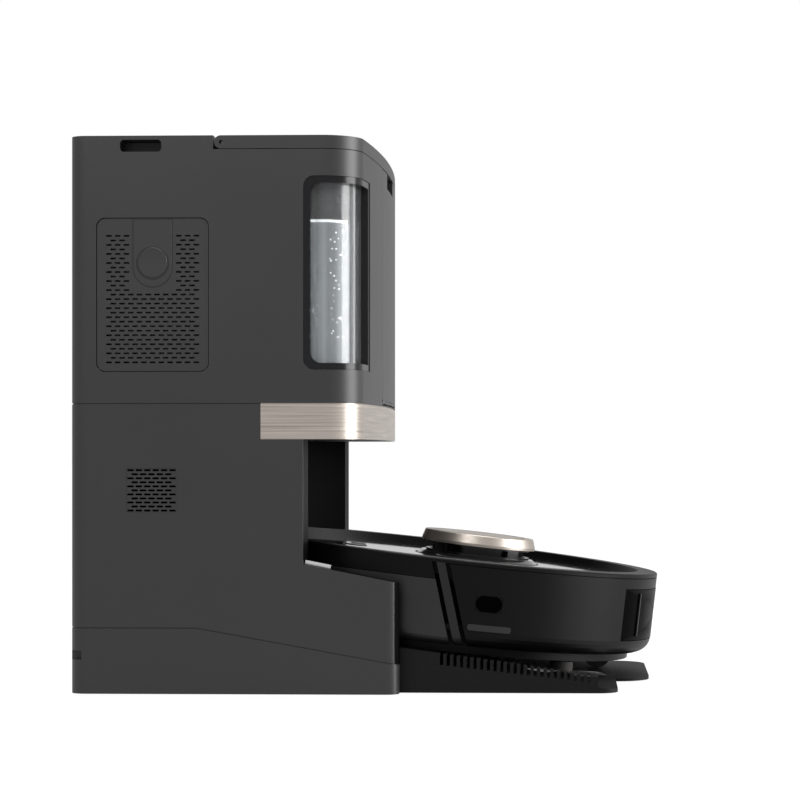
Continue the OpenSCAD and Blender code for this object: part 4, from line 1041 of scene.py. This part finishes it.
def pale_floor():
    material = bpy.data.materials.new("pale_floor")
    material.use_nodes = True
    tree = material.node_tree
    add, link = tree.nodes.new, tree.links.new
    surface, sink = tree.nodes["Principled BSDF"], tree.nodes["Material Output"]
    surface.inputs["Base Color"].default_value = (0.45, 0.45, 0.45, 1)
    surface.inputs["Roughness"].default_value = 0.18
    glow, mix, path, seen = (add("ShaderNodeEmission"), add("ShaderNodeMixShader"),
                             add("ShaderNodeLightPath"), add("ShaderNodeMath"))
    glow.inputs["Strength"].default_value = 1.41
    seen.operation, seen.use_clamp = "MULTIPLY", True
    seen.inputs[1].default_value = 0.62
    either = add("ShaderNodeMath")
    either.operation, either.use_clamp = "MULTIPLY_ADD", True
    either.inputs[1].default_value = 0.5
    link(path.outputs["Is Glossy Ray"], either.inputs[0])
    link(path.outputs["Is Camera Ray"], either.inputs[2])
    link(either.outputs[0], seen.inputs[0])
    link(seen.outputs[0], mix.inputs[0])
    link(surface.outputs[0], mix.inputs[1])
    link(glow.outputs[0], mix.inputs[2])
    link(mix.outputs[0], sink.inputs["Surface"])
    return material


bpy.ops.mesh.primitive_plane_add(size=60, location=(0, 0, cad_box[0][2] - 0.0002))
floor = bpy.context.object
floor.name = "pale_floor"
floor.data.materials.append(pale_floor())

world = bpy.data.worlds.new("pale_room")
bpy.context.scene.world = world
world.use_nodes = True
room = world.node_tree
room_light = room.nodes["Background"]
room_light.inputs["Color"].default_value = (1, 1, 1, 1)
path = room.nodes.new("ShaderNodeLightPath")
shine = room.nodes.new("ShaderNodeMath")
shine.operation, shine.use_clamp = "ADD", True
mirror = room.nodes.new("ShaderNodeMath")
mirror.operation = "MULTIPLY_ADD"
mirror.inputs[1].default_value = 0.45
level = room.nodes.new("ShaderNodeMapRange")
level.inputs["To Min"].default_value = 0.30
level.inputs["To Max"].default_value = 1.0
room.links.new(path.outputs["Is Glossy Ray"], mirror.inputs[0])
room.links.new(path.outputs["Is Camera Ray"], mirror.inputs[2])
room.links.new(mirror.outputs[0], shine.inputs[0])
room.links.new(path.outputs["Is Transmission Ray"], shine.inputs[1])
room.links.new(shine.outputs[0], level.inputs["Value"])
room.links.new(level.outputs["Result"], room_light.inputs["Strength"])


def soft_lamp(name, place, aim, size, power):
    lamp = bpy.data.lights.new(name, "AREA")
    lamp.shape = "RECTANGLE"
    lamp.size, lamp.size_y = size
    lamp.energy = power
    light = bpy.data.objects.new(name, lamp)
    bpy.context.scene.collection.objects.link(light)
    light.location = place
    light.rotation_euler = (Vector(aim) - Vector(place)).to_track_quat("-Z", "Y").to_euler()


soft_lamp("front_lamp", (1.8, -0.15, 0.7), (0.1, 0.0, 0.2), (1.1, 1.4), 42)
soft_lamp("top_lamp", (0.2, -0.3, 1.9), (0.1, 0.0, 0.2), (1.6, 1.2), 22)
soft_lamp("right_lamp", (-0.4, -1.1, 1.35), (-0.05, 0.0, 0.3), (0.9, 0.5), 17)

camera_data = bpy.data.cameras.new("camera")
camera_data.sensor_width = 36.0
camera_data.lens = 107.33
camera_data.shift_x = -0.10
camera_data.shift_y = 0.0675
camera = bpy.data.objects.new("camera", camera_data)
bpy.context.scene.collection.objects.link(camera)
camera.location = (0.2439, -1.9542, 0.1784)
camera.rotation_euler = (math.pi / 2, 0, math.radians(1.97))
bpy.context.scene.camera = camera
bpy.context.scene.view_settings.view_transform = "Standard"
